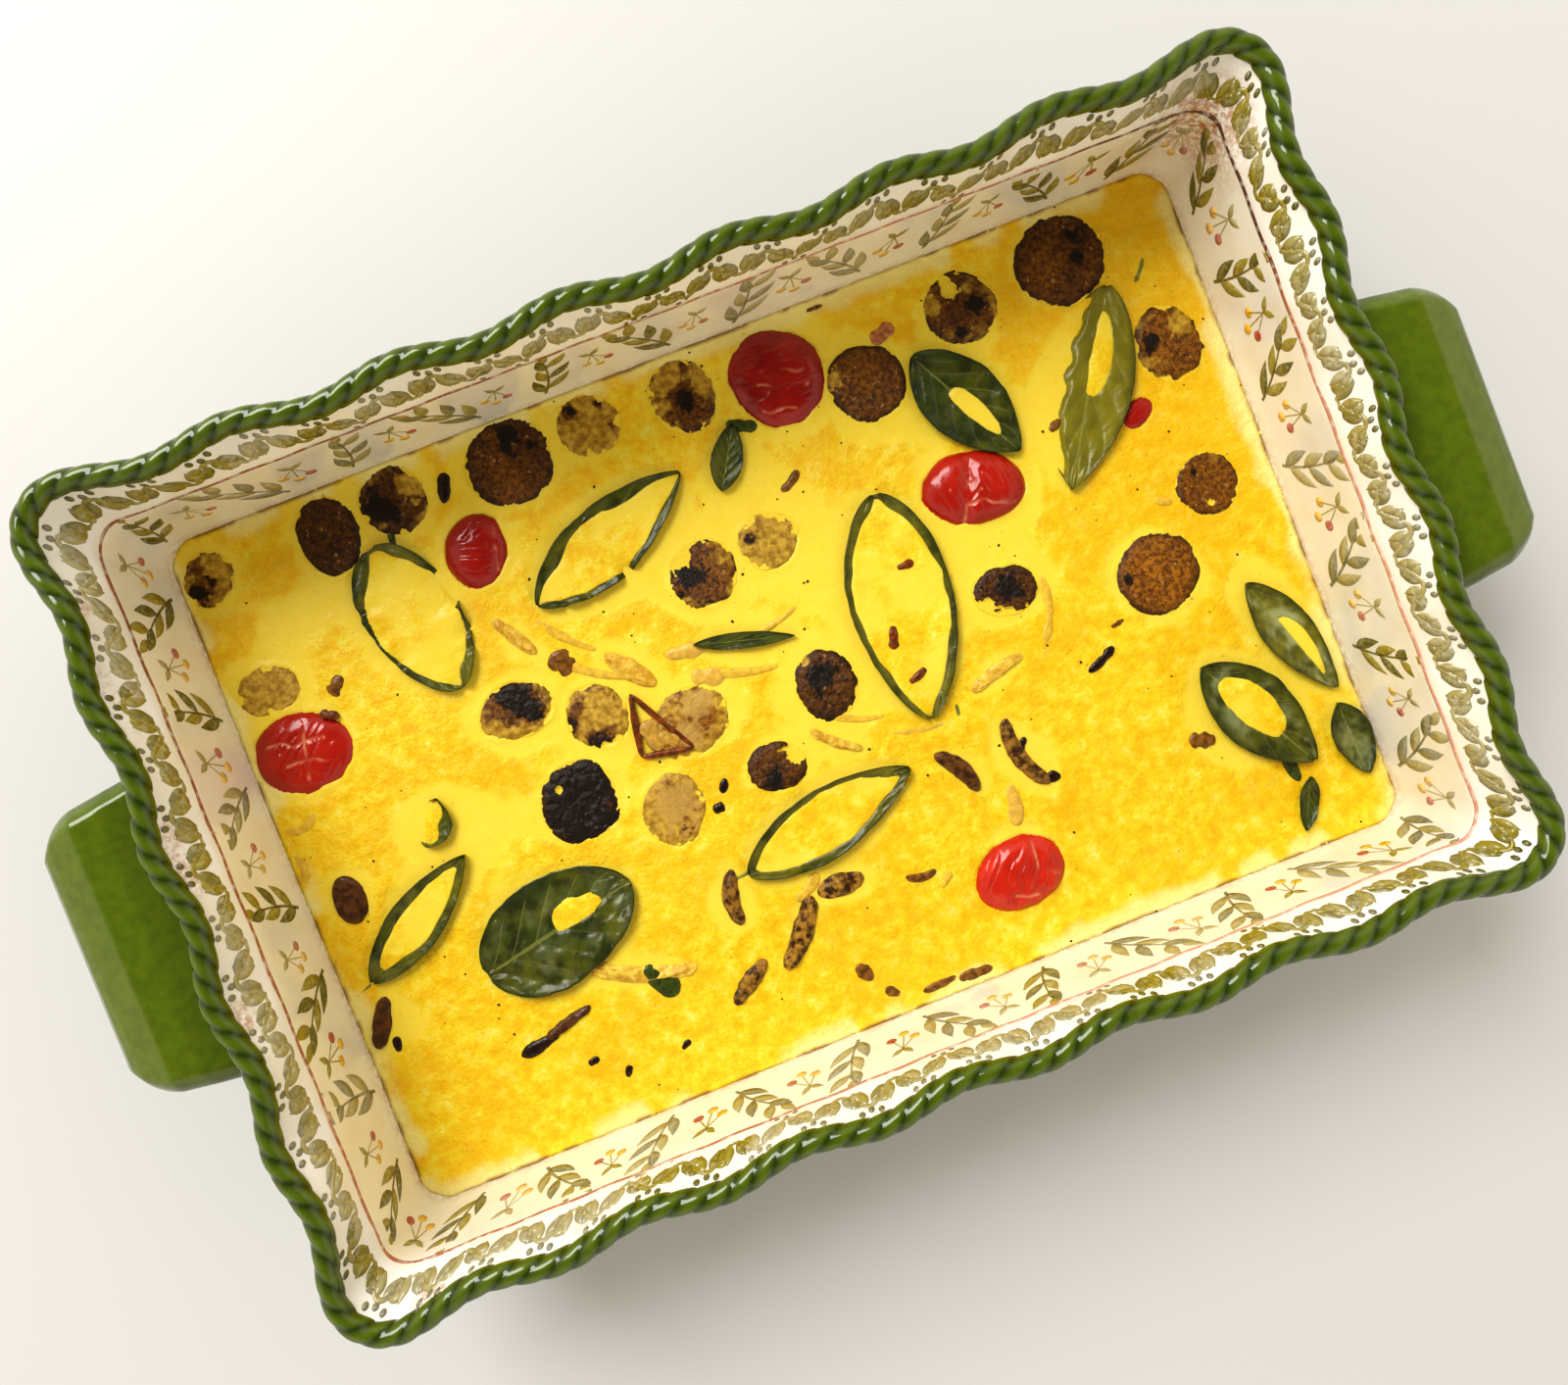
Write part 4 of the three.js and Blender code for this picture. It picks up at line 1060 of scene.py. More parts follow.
PAINT = paint_material()
glaze = glaze_map()
vines = painted_row("lip_vine", vine_motif(ROUND / LIP_CELLS), LIP_CELLS, row_at=6.9, shift=0.5, lean=0.0,
                    spread=0.0, seed=3)
sprigs = painted_row("wall_sprigs", sprig_motif(), SPRIG_CELLS, row_at=31.5, shift=0.5, lean=22.0,
                     spread=0.08, seed=11)
berries = painted_row("wall_berries", berry_motif(), BERRY_CELLS, row_at=30.0, shift=1.0, lean=10.0,
                      spread=0.10, seed=23)
bpy.data.objects.remove(glaze)
print("painted faces:", vines, "vine,", sprigs, "sprig,", berries, "berry")

# %% [markdown]
# ## The line at the bend
# Where the lip meets the wall a fine line is painted. Its colour runs from pink nearest the viewer to brick
# red towards the left and the far side, and to dark brown in the far right corner, where juice baked on. It
# is a thin closed band, and its height wavers a little, as a brush does.

# %% Paint the line at the bend
LINE_ROWS = [
    # inset, height, corner radius, share of the waves
    (BEND_IN - 0.9, BEND_Z + 0.6, 8.9, 0.0),
    (BEND_IN - 0.10, BEND_Z + 0.75, 8.95, 0.05),
    (BEND_IN + 0.12, BEND_Z + 0.1, 9.0, 0.0),
    (BEND_IN + 0.10, BEND_Z - 0.6, 9.0, 0.0),
    (BEND_IN - 0.9, BEND_Z - 0.5, 8.9, 0.0),
]
LINE_PINK, LINE_RED, LINE_BROWN = (0.70, 0.33, 0.26), (0.42, 0.13, 0.06), (0.10, 0.022, 0.012)
BROWNEST = (160, 95)
BROWN_SPREAD = 1500


def line_material():
    """The line's paint, worn through to the glaze here and there."""
    made, tree, shader, place = new_finish("painted_line")
    base = colours(tree, read(tree, "pigment"), (0.0, LINE_PINK), (0.5, LINE_RED), (1.0, LINE_BROWN))
    worn = reshape(tree, noise_at(tree, place, 2.5, 3), 0.45, 0.7, 0.0, 0.5)
    tree.links.new(blend(tree, worn, base, CREAM), shader.inputs["Base Color"])
    gloss(shader, 0.25, coat=0.3)
    return made


line_points = loft(LINE_ROWS, rope_stops)
line_x, line_y = line_points[:, 0], line_points[:, 1]
line_points[:, 2] += 0.35 * np.sin(line_x / 3.1) * np.sin(line_y / 3.7 + 0.5)
line_faces = [tuple(k % len(line_points) for k in face)
              for face in ring_faces(len(LINE_ROWS) + 1, len(rope_stops))]
from_brownest = (line_x - BROWNEST[0]) ** 2 + (line_y - BROWNEST[1]) ** 2
line_tone = 0.45 * ramp(-line_x, -60, 60) + 0.25 * ramp(line_y, -60, 60)
line_tone += 1.2 * np.exp(-from_brownest / BROWN_SPREAD) + 0.1 * layered(line_x, line_y, 20, 2)
make_piece("bend_line", line_points, line_faces, [line_material()],
           attributes={"pigment": np.clip(line_tone, 0, 1)})
print("bend line", len(line_faces), "faces")

# %% [markdown]
# ## Where the food lies
# Every topping must sit exactly where its node does, so its outline is read from the frame: the hull of the
# node seen from above, given as how far it reaches in each direction. The egg needs the same outlines,
# because it climbs a little round whatever sticks out of it.

# %% Read the outlines of the toppings
SEEN_TURN = math.radians(-CAMERA_TILT[2])


def hull_of(points):
    """The corners of the convex hull of flat points, anticlockwise."""
    ordered = sorted(set(map(tuple, points.round(2).tolist())))

    def chain(run):
        kept = []
        for x, y in run:
            while len(kept) > 1 and ((kept[-1][0] - kept[-2][0]) * (y - kept[-2][1])
                                     <= (kept[-1][1] - kept[-2][1]) * (x - kept[-2][0])):
                kept.pop()
            kept.append((x, y))
        return kept[:-1]

    return np.array(chain(ordered) + chain(ordered[::-1]))


class Outline:
    """The outline of a node from above, in millimetres."""

    def __init__(self, node):
        mesh = NODES[node].data
        places = np.empty(len(mesh.vertices) * 3)
        mesh.vertices.foreach_get("co", places)
        places = places.reshape(-1, 3) / MM
        self.top = places[:, 2].max()
        self.centre = (places[:, :2].max(0) + places[:, :2].min(0)) / 2
        hull = hull_of(places[:, :2] - self.centre)
        side = np.roll(hull, -1, axis=0) - hull
        self.normal = np.column_stack([side[:, 1], -side[:, 0]]) / np.hypot(*side.T)[:, None]
        self.height = (self.normal * hull).sum(1)

    def reach(self, angle):
        """How far the outline is from its centre at the angles."""
        angle = np.asarray(angle, float)
        facing = self.normal @ np.stack([np.cos(angle).ravel(), np.sin(angle).ravel()])
        facing = np.where(facing > 1e-6, facing, 1e-6)
        return (self.height[:, None] / facing).min(0).reshape(angle.shape)

    def rounded(self, angle):
        """The reach with the hull's corners rounded off."""
        around = np.radians(np.linspace(-14, 14, 7))
        return sum(self.reach(angle + turn) for turn in around) / len(around)

    def size(self):
        """The outline's mean radius."""
        return float(self.reach(np.linspace(0, 2 * math.pi, 24)).mean())

    def seen_at(self, right, up):
        """The place that the camera sees right and up of the centre, in shares of the mean radius."""
        turned = (right * math.cos(SEEN_TURN) - up * math.sin(SEEN_TURN),
                  right * math.sin(SEEN_TURN) + up * math.cos(SEEN_TURN))
        return self.centre[0] + self.size() * turned[0], self.centre[1] + self.size() * turned[1]

    def beyond(self, x, y):
        """How far points lie outside the outline; negative inside."""
        dx, dy = x - self.centre[0], y - self.centre[1]
        return np.hypot(dx, dy) - self.rounded(np.arctan2(dy, dx))


OUTLINES = {name: Outline(name) for name in sorted(NODES) if name not in ("baking_dish", "baked_egg")}


def egg_top(x, y):
    """The calm surface of the egg, the same as the construction model's."""
    return (EGG_Z + 0.48 * np.sin(x / 29 + 1.1) * np.cos(y / 24 - 0.4) + 0.32 * np.sin(x / 47 - y / 33))


print("toppings", len(OUTLINES), "egg at the middle", round(float(egg_top(0, 0)), 2))

# %% [markdown]
# ## The baked egg
# The egg is one sheet of points on a fine grid. Its edge is pressed into the dish's rounded corners by moving
# the corner points of the grid towards the corner's centre. Three things give it its look: calm cream where
# the egg ran last, lumpy golden curd where it set first, and a rise with a ragged edge round every topping.
# Each is a number per point, so the finish can use the same numbers for colour.

# %% Shape and finish the egg
EGG_HALF = (ROPE_HALF[0] - BEND_IN - 0.55, ROPE_HALF[1] - BEND_IN - 0.55)
EGG_CORNER = 8.5
EGG_STEP = 1.1
EGG_FOOT = 8.5
FOOT_SHRINK = 0.985
CURD_HEIGHT = 0.55
YOLK_STEPS = [(0.32, (0.87, 0.50, 0.004)), (0.45, (0.92, 0.61, 0.008)), (0.56, (0.95, 0.72, 0.030)),
              (0.68, (0.97, 0.84, 0.160))]
YOLK_DEEP, YOLK_PIT = (0.88, 0.50, 0.004), (0.76, 0.38, 0.004)
EGG_CREAM, EGG_STAIN = (0.955, 0.735, 0.075), (0.66, 0.34, 0.012)
EGG_FROTH, EGG_BROWN = (0.97, 0.86, 0.36), (0.30, 0.13, 0.01)
CREAM_SPOTS = [(10, 59, 26), (112, -76, 20), (-150, -55, 16), (12, -12, 24), (-30, 60, 22), (60, 70, 20),
               (-60, 5, 16), (20, 30, 22), (-110, -10, 20), (75, 20, 16), (-140, 75, 14), (150, -20, 14)]


def round_corners(x, y, half, corner):
    """Points of a rectangle moved so that its corners become round."""
    dx, dy = np.abs(x) - (half[0] - corner), np.abs(y) - (half[1] - corner)
    inside = (dx > 0) & (dy > 0)
    far = np.where(inside, np.hypot(dx, dy), 1.0)
    scale = np.where(inside, np.maximum(dx, dy) / np.maximum(far, 1e-9), 1.0)
    moved_x = np.where(inside, np.sign(x) * (half[0] - corner + dx * scale), x)
    moved_y = np.where(inside, np.sign(y) * (half[1] - corner + dy * scale), y)
    return moved_x, moved_y


def egg_fields(x, y):
    """The egg's height and the numbers that its finish reads."""
    near = np.full(x.shape, 99.0)
    proud = np.full(x.shape, 99.0)
    for name, outline in OUTLINES.items():
        beyond = outline.beyond(x, y)
        near = np.minimum(near, beyond)
        if name.startswith(("sausage", "tomato")):
            proud = np.minimum(proud, beyond)
    ragged = 1.7 * layered(x, y, 5.5, 3) + 0.7 * layered(x, y, 2.0, 5)
    wall = np.minimum(EGG_HALF[0] - np.abs(x), EGG_HALF[1] - np.abs(y))
    cream = 0.62 * ramp(-near, -13, 1.5) + 0.42 * layered(x, y, 26, 9)
    for cx, cy, size in CREAM_SPOTS:
        cream += 0.75 * np.exp(-((x - cx) ** 2 + (y - cy) ** 2) / (size * size * 0.5))
    cream -= 0.5 * ramp(x, 95, 150) * ramp(y, -40, 10) + 0.35 * ramp(-y, 60, 85)
    cream = ramp(cream + 0.10 * layered(x, y, 4, 13), 0.28, 0.62)
    curd = 1 - cream
    lumps = np.abs(layered(x, y, 6.5, 21)) + 0.55 * np.abs(layered(x, y, 2.8, 23))
    froth = ramp(-wall + 2.5 * layered(x, y, 7, 35), -9.5, -0.5) * ramp(grain(x, y, 9, 31), -0.8, 0.3)
    height = egg_top(x, y) + 0.10 * layered(x, y, 9, 17)
    height += CURD_HEIGHT * curd * (1.1 * lumps - 0.30)
    height += froth * 0.5 * (0.4 + layered(x, y, 2.4, 33)) + 0.7 * ramp(-wall, -2.2, 0)
    rise = ramp(-proud, -2.4 + 0.5 * ragged, 0.5) * (0.55 + 0.45 * grain(x, y, 7, 61))
    sunk = ramp(-proud + 0.8 * ragged, 0.1, 2.0)
    height += 0.75 * rise - 3.2 * sunk
    # Set by place: more gold towards the right and less towards the near side.
    gold_by_place = 0.30 * ramp(x, 80, 130) * ramp(y, -40, 10) - 0.12 * ramp(-y, 20, 80)
    gold = np.clip(0.5 + 0.5 * layered(x, y, 17, 41) + 0.35 * lumps * curd - 0.3 * cream + gold_by_place, 0, 1)
    brown = ramp(-wall, -2.0, -0.2) * ramp(grain(x, y, 5, 47), -0.4, 0.5)
    return height, {"cream": cream, "curd": curd * np.clip(lumps, 0, 1), "gold": gold, "brown": brown,
                    "froth": froth}


def sheet_grid(half, step):
    """A grid over a rectangle as flat lists of x and y, with its size."""
    columns, rows = round(2 * half[0] / step) + 1, round(2 * half[1] / step) + 1
    x, y = np.meshgrid(np.linspace(-half[0], half[0], columns), np.linspace(-half[1], half[1], rows))
    return x.ravel(), y.ravel(), columns, rows


def grid_faces(columns, rows):
    """Quads of a grid, facing up."""
    corner = (np.arange(rows - 1)[:, None] * columns + np.arange(columns - 1)).ravel()
    return np.column_stack([corner, corner + 1, corner + columns + 1, corner + columns]).tolist()


def egg_material():
    """Blotched yolk, with pits in the curd, cream patches, stains, and froth and brown along the wall."""
    made, tree, shader, place = new_finish("baked_egg_finish")
    yolk = colours(tree, noise_at(tree, place, 5.5, 7, 0.68), *YOLK_STEPS)
    pores = reshape(tree, noise_at(tree, place, 1.3, 3, 0.7), 0.55, 0.72)
    mixed = overlaid(tree, yolk,
                     (reshape(tree, read(tree, "gold"), 0.3, 1.0, 0.0, 0.6), YOLK_DEEP),
                     (times(tree, read(tree, "curd"), pores), YOLK_PIT),
                     (reshape(tree, read(tree, "cream"), 0.0, 1.0, 0.0, 0.90), EGG_CREAM),
                     (reshape(tree, noise_at(tree, place, 3.4, 6, 0.74), 0.62, 0.72, 0.0, 0.60), EGG_STAIN),
                     (reshape(tree, read(tree, "froth"), 0.15, 0.9, 0.0, 0.75), EGG_FROTH),
                     (reshape(tree, read(tree, "brown"), 0.2, 1.0, 0.0, 0.8), EGG_BROWN))
    tree.links.new(mixed, shader.inputs["Base Color"])
    gloss(shader, 0.4, sheer=0.18, radius=(1.0, 0.6, 0.1), mirror=0.35)
    wet = reshape(tree, noise_at(tree, place, 5.0, 2), 0.35, 0.7, 0.22, 0.5)
    tree.links.new(wet, shader.inputs["Roughness"])
    calmer = reshape(tree, read(tree, "cream"), 0.0, 1.0, 1.0, 0.25)
    bump(tree, shader, times(tree, noise_at(tree, place, 1.5, 4, 0.6), calmer), 0.55)
    return made


EGG = egg_material()
grid_x, grid_y, egg_columns, egg_rows = sheet_grid(EGG_HALF, EGG_STEP)
grid_x, grid_y = round_corners(grid_x, grid_y, EGG_HALF, EGG_CORNER)
egg_height, egg_numbers = egg_fields(grid_x, grid_y)
egg_rim = rim_of(egg_columns, egg_rows)
foot_x, foot_y = grid_x[egg_rim] * FOOT_SHRINK, grid_y[egg_rim] * FOOT_SHRINK
egg_points = np.concatenate([np.column_stack([grid_x, grid_y, egg_height]),
                             np.column_stack([foot_x, foot_y, np.full(len(foot_x), EGG_FOOT)])])
egg_foot = list(range(len(grid_x), len(egg_points)))
egg_faces = grid_faces(egg_columns, egg_rows) + quads_between(egg_foot, egg_rim) + [tuple(egg_foot[::-1])]
make_piece("egg_surface", egg_points, egg_faces, [EGG], nodes=["baked_egg"],
           attributes={key: np.concatenate([value, value[egg_rim]]) for key, value in egg_numbers.items()})
print("egg", len(egg_faces), "faces, highest", round(float(egg_height.max()), 1), "mm")

# %% [markdown]
# ## The sausage slices
# A browned slice is a rough disc, higher in the middle, whose rim the egg covers here and there. All of them
# are one rule with different numbers: how brown it is, how much egg film lies on it and how charred it is.
# These numbers go along as attributes, so one finish serves all of them.

# %% Model the sausage slices
SLICES = {
    # number: ochre, film, char
    1: (0.16, 0.00, 0.30), 2: (0.28, 0.22, 0.20), 3: (0.30, 0.05, 0.00), 4: (0.62, 0.22, 0.05),
    5: (0.60, 0.15, 0.10), 6: (0.72, 0.00, 0.12), 7: (0.16, 0.05, 0.35), 8: (0.25, 0.30, 0.25),
    9: (0.45, 0.62, 0.10), 10: (0.12, 0.25, 0.50), 11: (0.06, 0.12, 0.10), 12: (0.30, 0.40, 0.45),
    13: (0.30, 0.22, 0.45), 14: (0.55, 0.68, 0.10), 15: (0.30, 0.38, 0.55), 16: (0.40, 0.45, 0.40),
    17: (0.85, 0.45, 0.05), 18: (0.10, 0.04, 0.95), 19: (0.80, 0.55, 0.10), 20: (0.14, 0.05, 0.60),
    21: (0.20, 0.10, 0.55), 22: (0.06, 0.10, 0.30), 23: (0.55, 0.66, 0.05),
}
MARKS = {
    # number: marks as (right, up, size, kind), in shares of the radius as the camera sees the slice
    1: [(0.25, 0.55, 0.20, "burnt"), (0.35, 0.10, 0.16, "burnt"), (-0.4, -0.3, 0.5, "ochre")],
    2: [(-0.25, 0.45, 0.30, "egg"), (0.0, -0.7, 0.22, "burnt"), (0.45, 0.1, 0.3, "burnt"),
        (-0.8, 0, 0.3, "film")],
    3: [(0.15, -0.4, 0.12, "burnt"), (-0.3, 0.2, 0.6, "ochre"), (-0.9, 0.1, 0.25, "film")],
    4: [(-0.6, 0.0, 0.30, "burnt"), (0.3, 0.6, 0.35, "film"), (0.5, -0.3, 0.2, "burnt")],
    5: [(0.1, -0.6, 0.14, "egg"), (-0.5, 0.4, 0.2, "burnt")],
    6: [(0.0, 0.1, 0.7, "ochre"), (-0.75, -0.2, 0.15, "burnt")],
    7: [(-0.05, 0.62, 0.26, "burnt"), (-0.05, 0.35, 0.20, "burnt"), (0.5, 0.35, 0.12, "burnt"),
        (0, -0.5, 0.5, "ochre")],
    8: [(0.05, -0.1, 0.40, "burnt"), (-0.5, 0.5, 0.4, "film"), (0.6, 0.4, 0.3, "film"),
        (-0.4, -0.6, 0.3, "ochre")],
    9: [(0.15, 0.0, 0.40, "film"), (-0.6, 0.4, 0.30, "burnt"), (0.5, -0.6, 0.3, "ochre"),
        (0.3, 0.7, 0.2, "burnt")],
    10: [(-0.3, -0.3, 0.5, "burnt"), (0.5, 0.5, 0.4, "film")],
    12: [(-0.4, -0.5, 0.35, "burnt"), (0.3, 0.4, 0.4, "film"), (0.1, 0.0, 0.3, "burnt")],
    13: [(-0.35, -0.1, 0.45, "burnt"), (-0.75, 0.55, 0.35, "egg"), (0.5, 0.2, 0.6, "ochre")],
    14: [(-0.7, 0.05, 0.26, "burnt"), (0.4, 0.0, 0.7, "film"), (0.0, -0.6, 0.5, "film")],
    15: [(0.0, 0.35, 0.60, "burnt"), (0.5, 0.1, 0.4, "burnt"), (0.0, -0.85, 0.40, "film"),
         (-0.6, -0.6, 0.3, "film")],
    16: [(-0.85, -0.2, 0.25, "burnt"), (0.1, -0.7, 0.35, "burnt"), (0.0, 0.3, 0.5, "film")],
    17: [(0.2, 0.5, 0.45, "clear"), (0.85, -0.1, 0.28, "ochre"), (0.0, -0.3, 0.5, "clear")],
    18: [(-0.5, 0.3, 0.13, "egg"), (0.0, 0.0, 0.9, "burnt")],
    19: [(0.0, 0.2, 0.8, "clear"), (0.5, -0.3, 0.22, "ochre"), (0.35, -0.6, 0.16, "burnt")],
    20: [(-0.2, 0.3, 0.4, "burnt"), (-0.7, 0.7, 0.2, "film")],
    21: [(0.0, -0.5, 0.4, "burnt"), (0.75, 0.5, 0.35, "egg")],
    22: [(0.1, -0.9, 0.35, "egg"), (-0.7, -0.5, 0.25, "egg"), (0.0, 0.2, 0.5, "burnt")],
    23: [(0.4, 0.6, 0.16, "burnt"), (-0.2, 0.0, 0.8, "film")],
}
SLICE_SPOKES = 112
SLICE_RINGS = 32
TOPPING_FOOT = EGG_Z - 3
DARK_GRAIN, DARK_OCHRE = (0.032, 0.008, 0.001), (0.15, 0.048, 0.002)
LIGHT_GRAIN, LIGHT_OCHRE = (0.105, 0.036, 0.003), (0.42, 0.165, 0.008)
FAT_FLECK, DARK_SPECK, CHAR = (0.50, 0.30, 0.10), (0.018, 0.007, 0.003), (0.006, 0.003, 0.002)
BROWNED_RIM, FILM_THIN, FILM_THICK = (0.022, 0.007, 0.001), (0.34, 0.185, 0.012), (0.66, 0.42, 0.050)
CLEAR_FILM, EGG_ON_RIM = (0.56, 0.35, 0.085), (0.93, 0.68, 0.045)


def disc(outline, seed, spokes=SLICE_SPOKES, rings=SLICE_RINGS, rough=0.35, swell=0.6):
    """Points of a disc inside an outline from the middle outwards, with their distance to the edge."""
    angle = np.arange(spokes) / spokes * 2 * math.pi
    share = np.sin(np.linspace(0, 1, rings + 1)[1:] * math.pi / 2)
    uneven = rough * grain(3 * np.cos(angle) + seed, 3 * np.sin(angle), 1.0, seed) - rough
    edge = outline.rounded(angle) + uneven + swell
    spread = share[:, None] * edge[None, :]
    x = outline.centre[0] + spread * np.cos(angle)
    y = outline.centre[1] + spread * np.sin(angle)
    middle = np.array([[outline.centre[0], outline.centre[1]]])
    flat = np.concatenate([middle, np.column_stack([x.ravel(), y.ravel()])])
    return flat, np.concatenate([[0.0], np.repeat(share, spokes)])


def disc_faces(spokes, rings):
    """Faces of a disc with one middle point: a fan and then rings."""
    fan = [(0, 1 + i, 1 + (i + 1) % spokes) for i in range(spokes)]
    return fan + [(1 + a, 1 + d, 1 + c, 1 + b) for a, b, c, d in ring_faces(rings, spokes)]


def close_below(points, faces, spokes, rings, foot):
    """Closes a disc with a wall down to the foot height and a bottom."""
    outer = 1 + (rings - 1) * spokes
    start = len(points)
    wall = points[outer:outer + spokes].copy()
    wall[:, 2] = foot
    faces = faces + [(outer + i, start + i, start + (i + 1) % spokes, outer + (i + 1) % spokes)
                     for i in range(spokes)]
    faces.append(tuple(start + i for i in range(spokes))[::-1])
    return np.concatenate([points, wall]), faces


def down_the_wall(numbers, spokes):
    """The numbers of a disc, with those of its rim given to the foot of its wall too."""
    return {key: np.append(value, value[-spokes:]) for key, value in numbers.items()}


def sausage_material():
    """Brown to ochre grains, with flecks, char, a browned rim, film and egg over them."""
    made, tree, shader, place = new_finish("sausage_finish")
    grains = reshape(tree, noise_at(tree, place, 1.5, 3, 0.65), 0.36, 0.64)
    dark = blend(tree, read(tree, "ochre"), DARK_GRAIN, DARK_OCHRE)
    light = blend(tree, read(tree, "ochre"), LIGHT_GRAIN, LIGHT_OCHRE)
    film = colours(tree, noise_at(tree, place, 2.2, 3), (0.38, FILM_THIN), (0.62, FILM_THICK))
    body = overlaid(tree, blend(tree, grains, dark, light),
                    (reshape(tree, noise_at(tree, place, 1.9, 2), 0.64, 0.72, 0.0, 0.6), FAT_FLECK),
                    (reshape(tree, noise_at(tree, place, 0.8, 2), 0.60, 0.68, 0.0, 0.75), DARK_SPECK),
                    (read(tree, "burnt"), CHAR),
                    (reshape(tree, read(tree, "rim"), 0.80, 1.0, 0.0, 0.75), BROWNED_RIM),
                    (read(tree, "film"), film),
                    (reshape(tree, read(tree, "clear"), 0.2, 0.9, 0.0, 0.75), CLEAR_FILM),
                    (reshape(tree, read(tree, "egg"), 0.35, 0.65), EGG_ON_RIM))
    tree.links.new(body, shader.inputs["Base Color"])
    gloss(shader, 0.36, mirror=0.30)
    bump(tree, shader, noise_at(tree, place, 0.8, 3, 0.6), 0.35)
    return made


SAUSAGE = sausage_material()


def slice_marks(number, x, y, outline):
    """How strongly each kind of mark shows at the points of one slice."""
    found = {kind: np.zeros(x.shape) for kind in ("burnt", "film", "ochre", "clear", "egg")}
    radius = outline.size()
    ragged = 1 + 1.1 * layered(x, y, 3.0, number + 21) + 0.7 * grain(x, y, 1.0, number + 22)
    for right, up, size, kind in MARKS.get(number, ()):
        at_x, at_y = outline.seen_at(right, up)
        far = ((x - at_x) ** 2 + (y - at_y) ** 2) / (size * radius) ** 2
        found[kind] = np.maximum(found[kind], np.exp(-(far * np.clip(ragged, 0.2, 3)) ** 1.5))
    return found


def slice_piece(number):
    node = f"sausage_slice_{number}"
    ochre, film, char = SLICES[number]
    outline = OUTLINES[node]
    flat, share = disc(outline, number * 7.3, swell=1.0)
    x, y = flat.T
    marked = slice_marks(number, x, y, outline)
    fine = layered(x, y, 1.7, number + 31)
    lumps = layered(x, y, 3.2, number) * 0.30 + 0.16 * layered(x, y, 1.1, number + 50)
    lumps -= char * 0.55 * ramp(np.abs(layered(x, y, 4.5, number + 9)), 0.22, 0.02)
    covered = ramp(share + (0.12 + 0.55 * film) * (layered(x, y, 4.2, number + 33) + 0.35 * fine)
                   + 0.9 * marked["egg"], 0.97, 1.05)
    height = egg_top(x, y) + 1.55 - 1.3 * share ** 7 + lumps - 0.5 * film
    height += covered * (egg_top(x, y) + 0.40 - height)
    height = np.minimum(height, outline.top)
    filmed = ramp(film * 1.15 + 0.75 * film * share ** 3 + 0.55 * layered(x, y, 6.0, number + 30)
                  + 0.22 * fine + marked["film"] - 0.6 * marked["burnt"], 0.42, 0.78)
    filmed = filmed * (0.92 if film > 0.02 else 0.0)
    burnt = ramp(0.8 * char + 0.60 * layered(x, y, 4.6, number + 40) + 0.20 * fine + 0.25 * share ** 6
                 + marked["burnt"] - 0.8 * marked["film"] - 0.8 * marked["clear"], 0.62, 1.0) * 0.95
    bright = np.clip(ochre + 0.35 * marked["ochre"] + 0.22 * layered(x, y, 6.5, number + 35), 0, 1)
    clear = np.clip(marked["clear"] + 0.3 * fine * (marked["clear"] > 0.2), 0, 1)
    points, faces = close_below(np.column_stack([flat, height]), disc_faces(SLICE_SPOKES, SLICE_RINGS),
                                SLICE_SPOKES, SLICE_RINGS, TOPPING_FOOT)
    numbers = {"ochre": bright, "film": filmed, "burnt": burnt, "rim": share, "clear": clear, "egg": covered}
    return make_piece(f"slice_{number}", points, faces, [SAUSAGE], nodes=[node],
                      attributes=down_the_wall(numbers, SLICE_SPOKES))


for number in SLICES:
    slice_piece(number)
print("slices", len(SLICES))

# %% [markdown]
# ## The tomatoes
# A baked tomato half collapses: its skin wrinkles across the bulge and stays wet. The dome is a disc lifted
# to the node's height, and the wrinkles are long narrow noise laid across it.

# %% Model the tomatoes
TOMATOES = {
    # number: wrinkle turn in degrees, wrinkle depth, how bright
    # Tomato 1 lies in the shade of the far wall: its low brightness is partly its own deep red, partly
    # painted shade.
    1: (0, 0.35, 0.10), 2: (100, 0.30, 0.45), 3: (-20, 0.22, 0.20),
    4: (40, 0.40, 0.40), 5: (50, 0.45, 0.85), 6: (25, 0.10, 0.35),
}
CREASES = {
    # number: pale splits in the skin, as right, up of both ends in shares of the radius as the camera sees it
    # Tomato 1's lines follow its wrinkles, and their pale colour is painted highlight.
    1: [(-0.65, 0.02, 0.50, 0.10), (-0.40, -0.20, 0.62, -0.16), (-0.30, -0.72, 0.35, -0.70)],
    2: [(-0.10, 0.95, -0.22, -0.95), (-0.20, -0.42, 0.95, -0.30), (0.12, -0.10, -0.20, -0.42)],
    3: [(0.55, 0.70, 0.70, -0.50), (-0.25, 0.40, 0.10, 0.90)],
    4: [(-0.75, 0.10, 0.45, 0.30), (-0.30, -0.30, 0.70, -0.10), (0.00, 0.65, 0.15, -0.60)],
    5: [(0.25, 0.85, 0.55, -0.85), (-0.10, -0.45, 0.45, -0.50), (0.35, 0.05, 0.95, 0.10)],
}
LOBED = {2: (0, 1.5), 5: (0, 0.5), 3: (0, 0.5)}
TOMATO_SPOKES, TOMATO_RINGS = 128, 52
TOMATO_DEEP, TOMATO_BRIGHT = (0.27, 0.004, 0.002), (0.66, 0.030, 0.008)
TOMATO_PATCH, PALE_SPLIT_HIGHLIGHT = (0.42, 0.012, 0.004), (0.80, 0.36, 0.20)


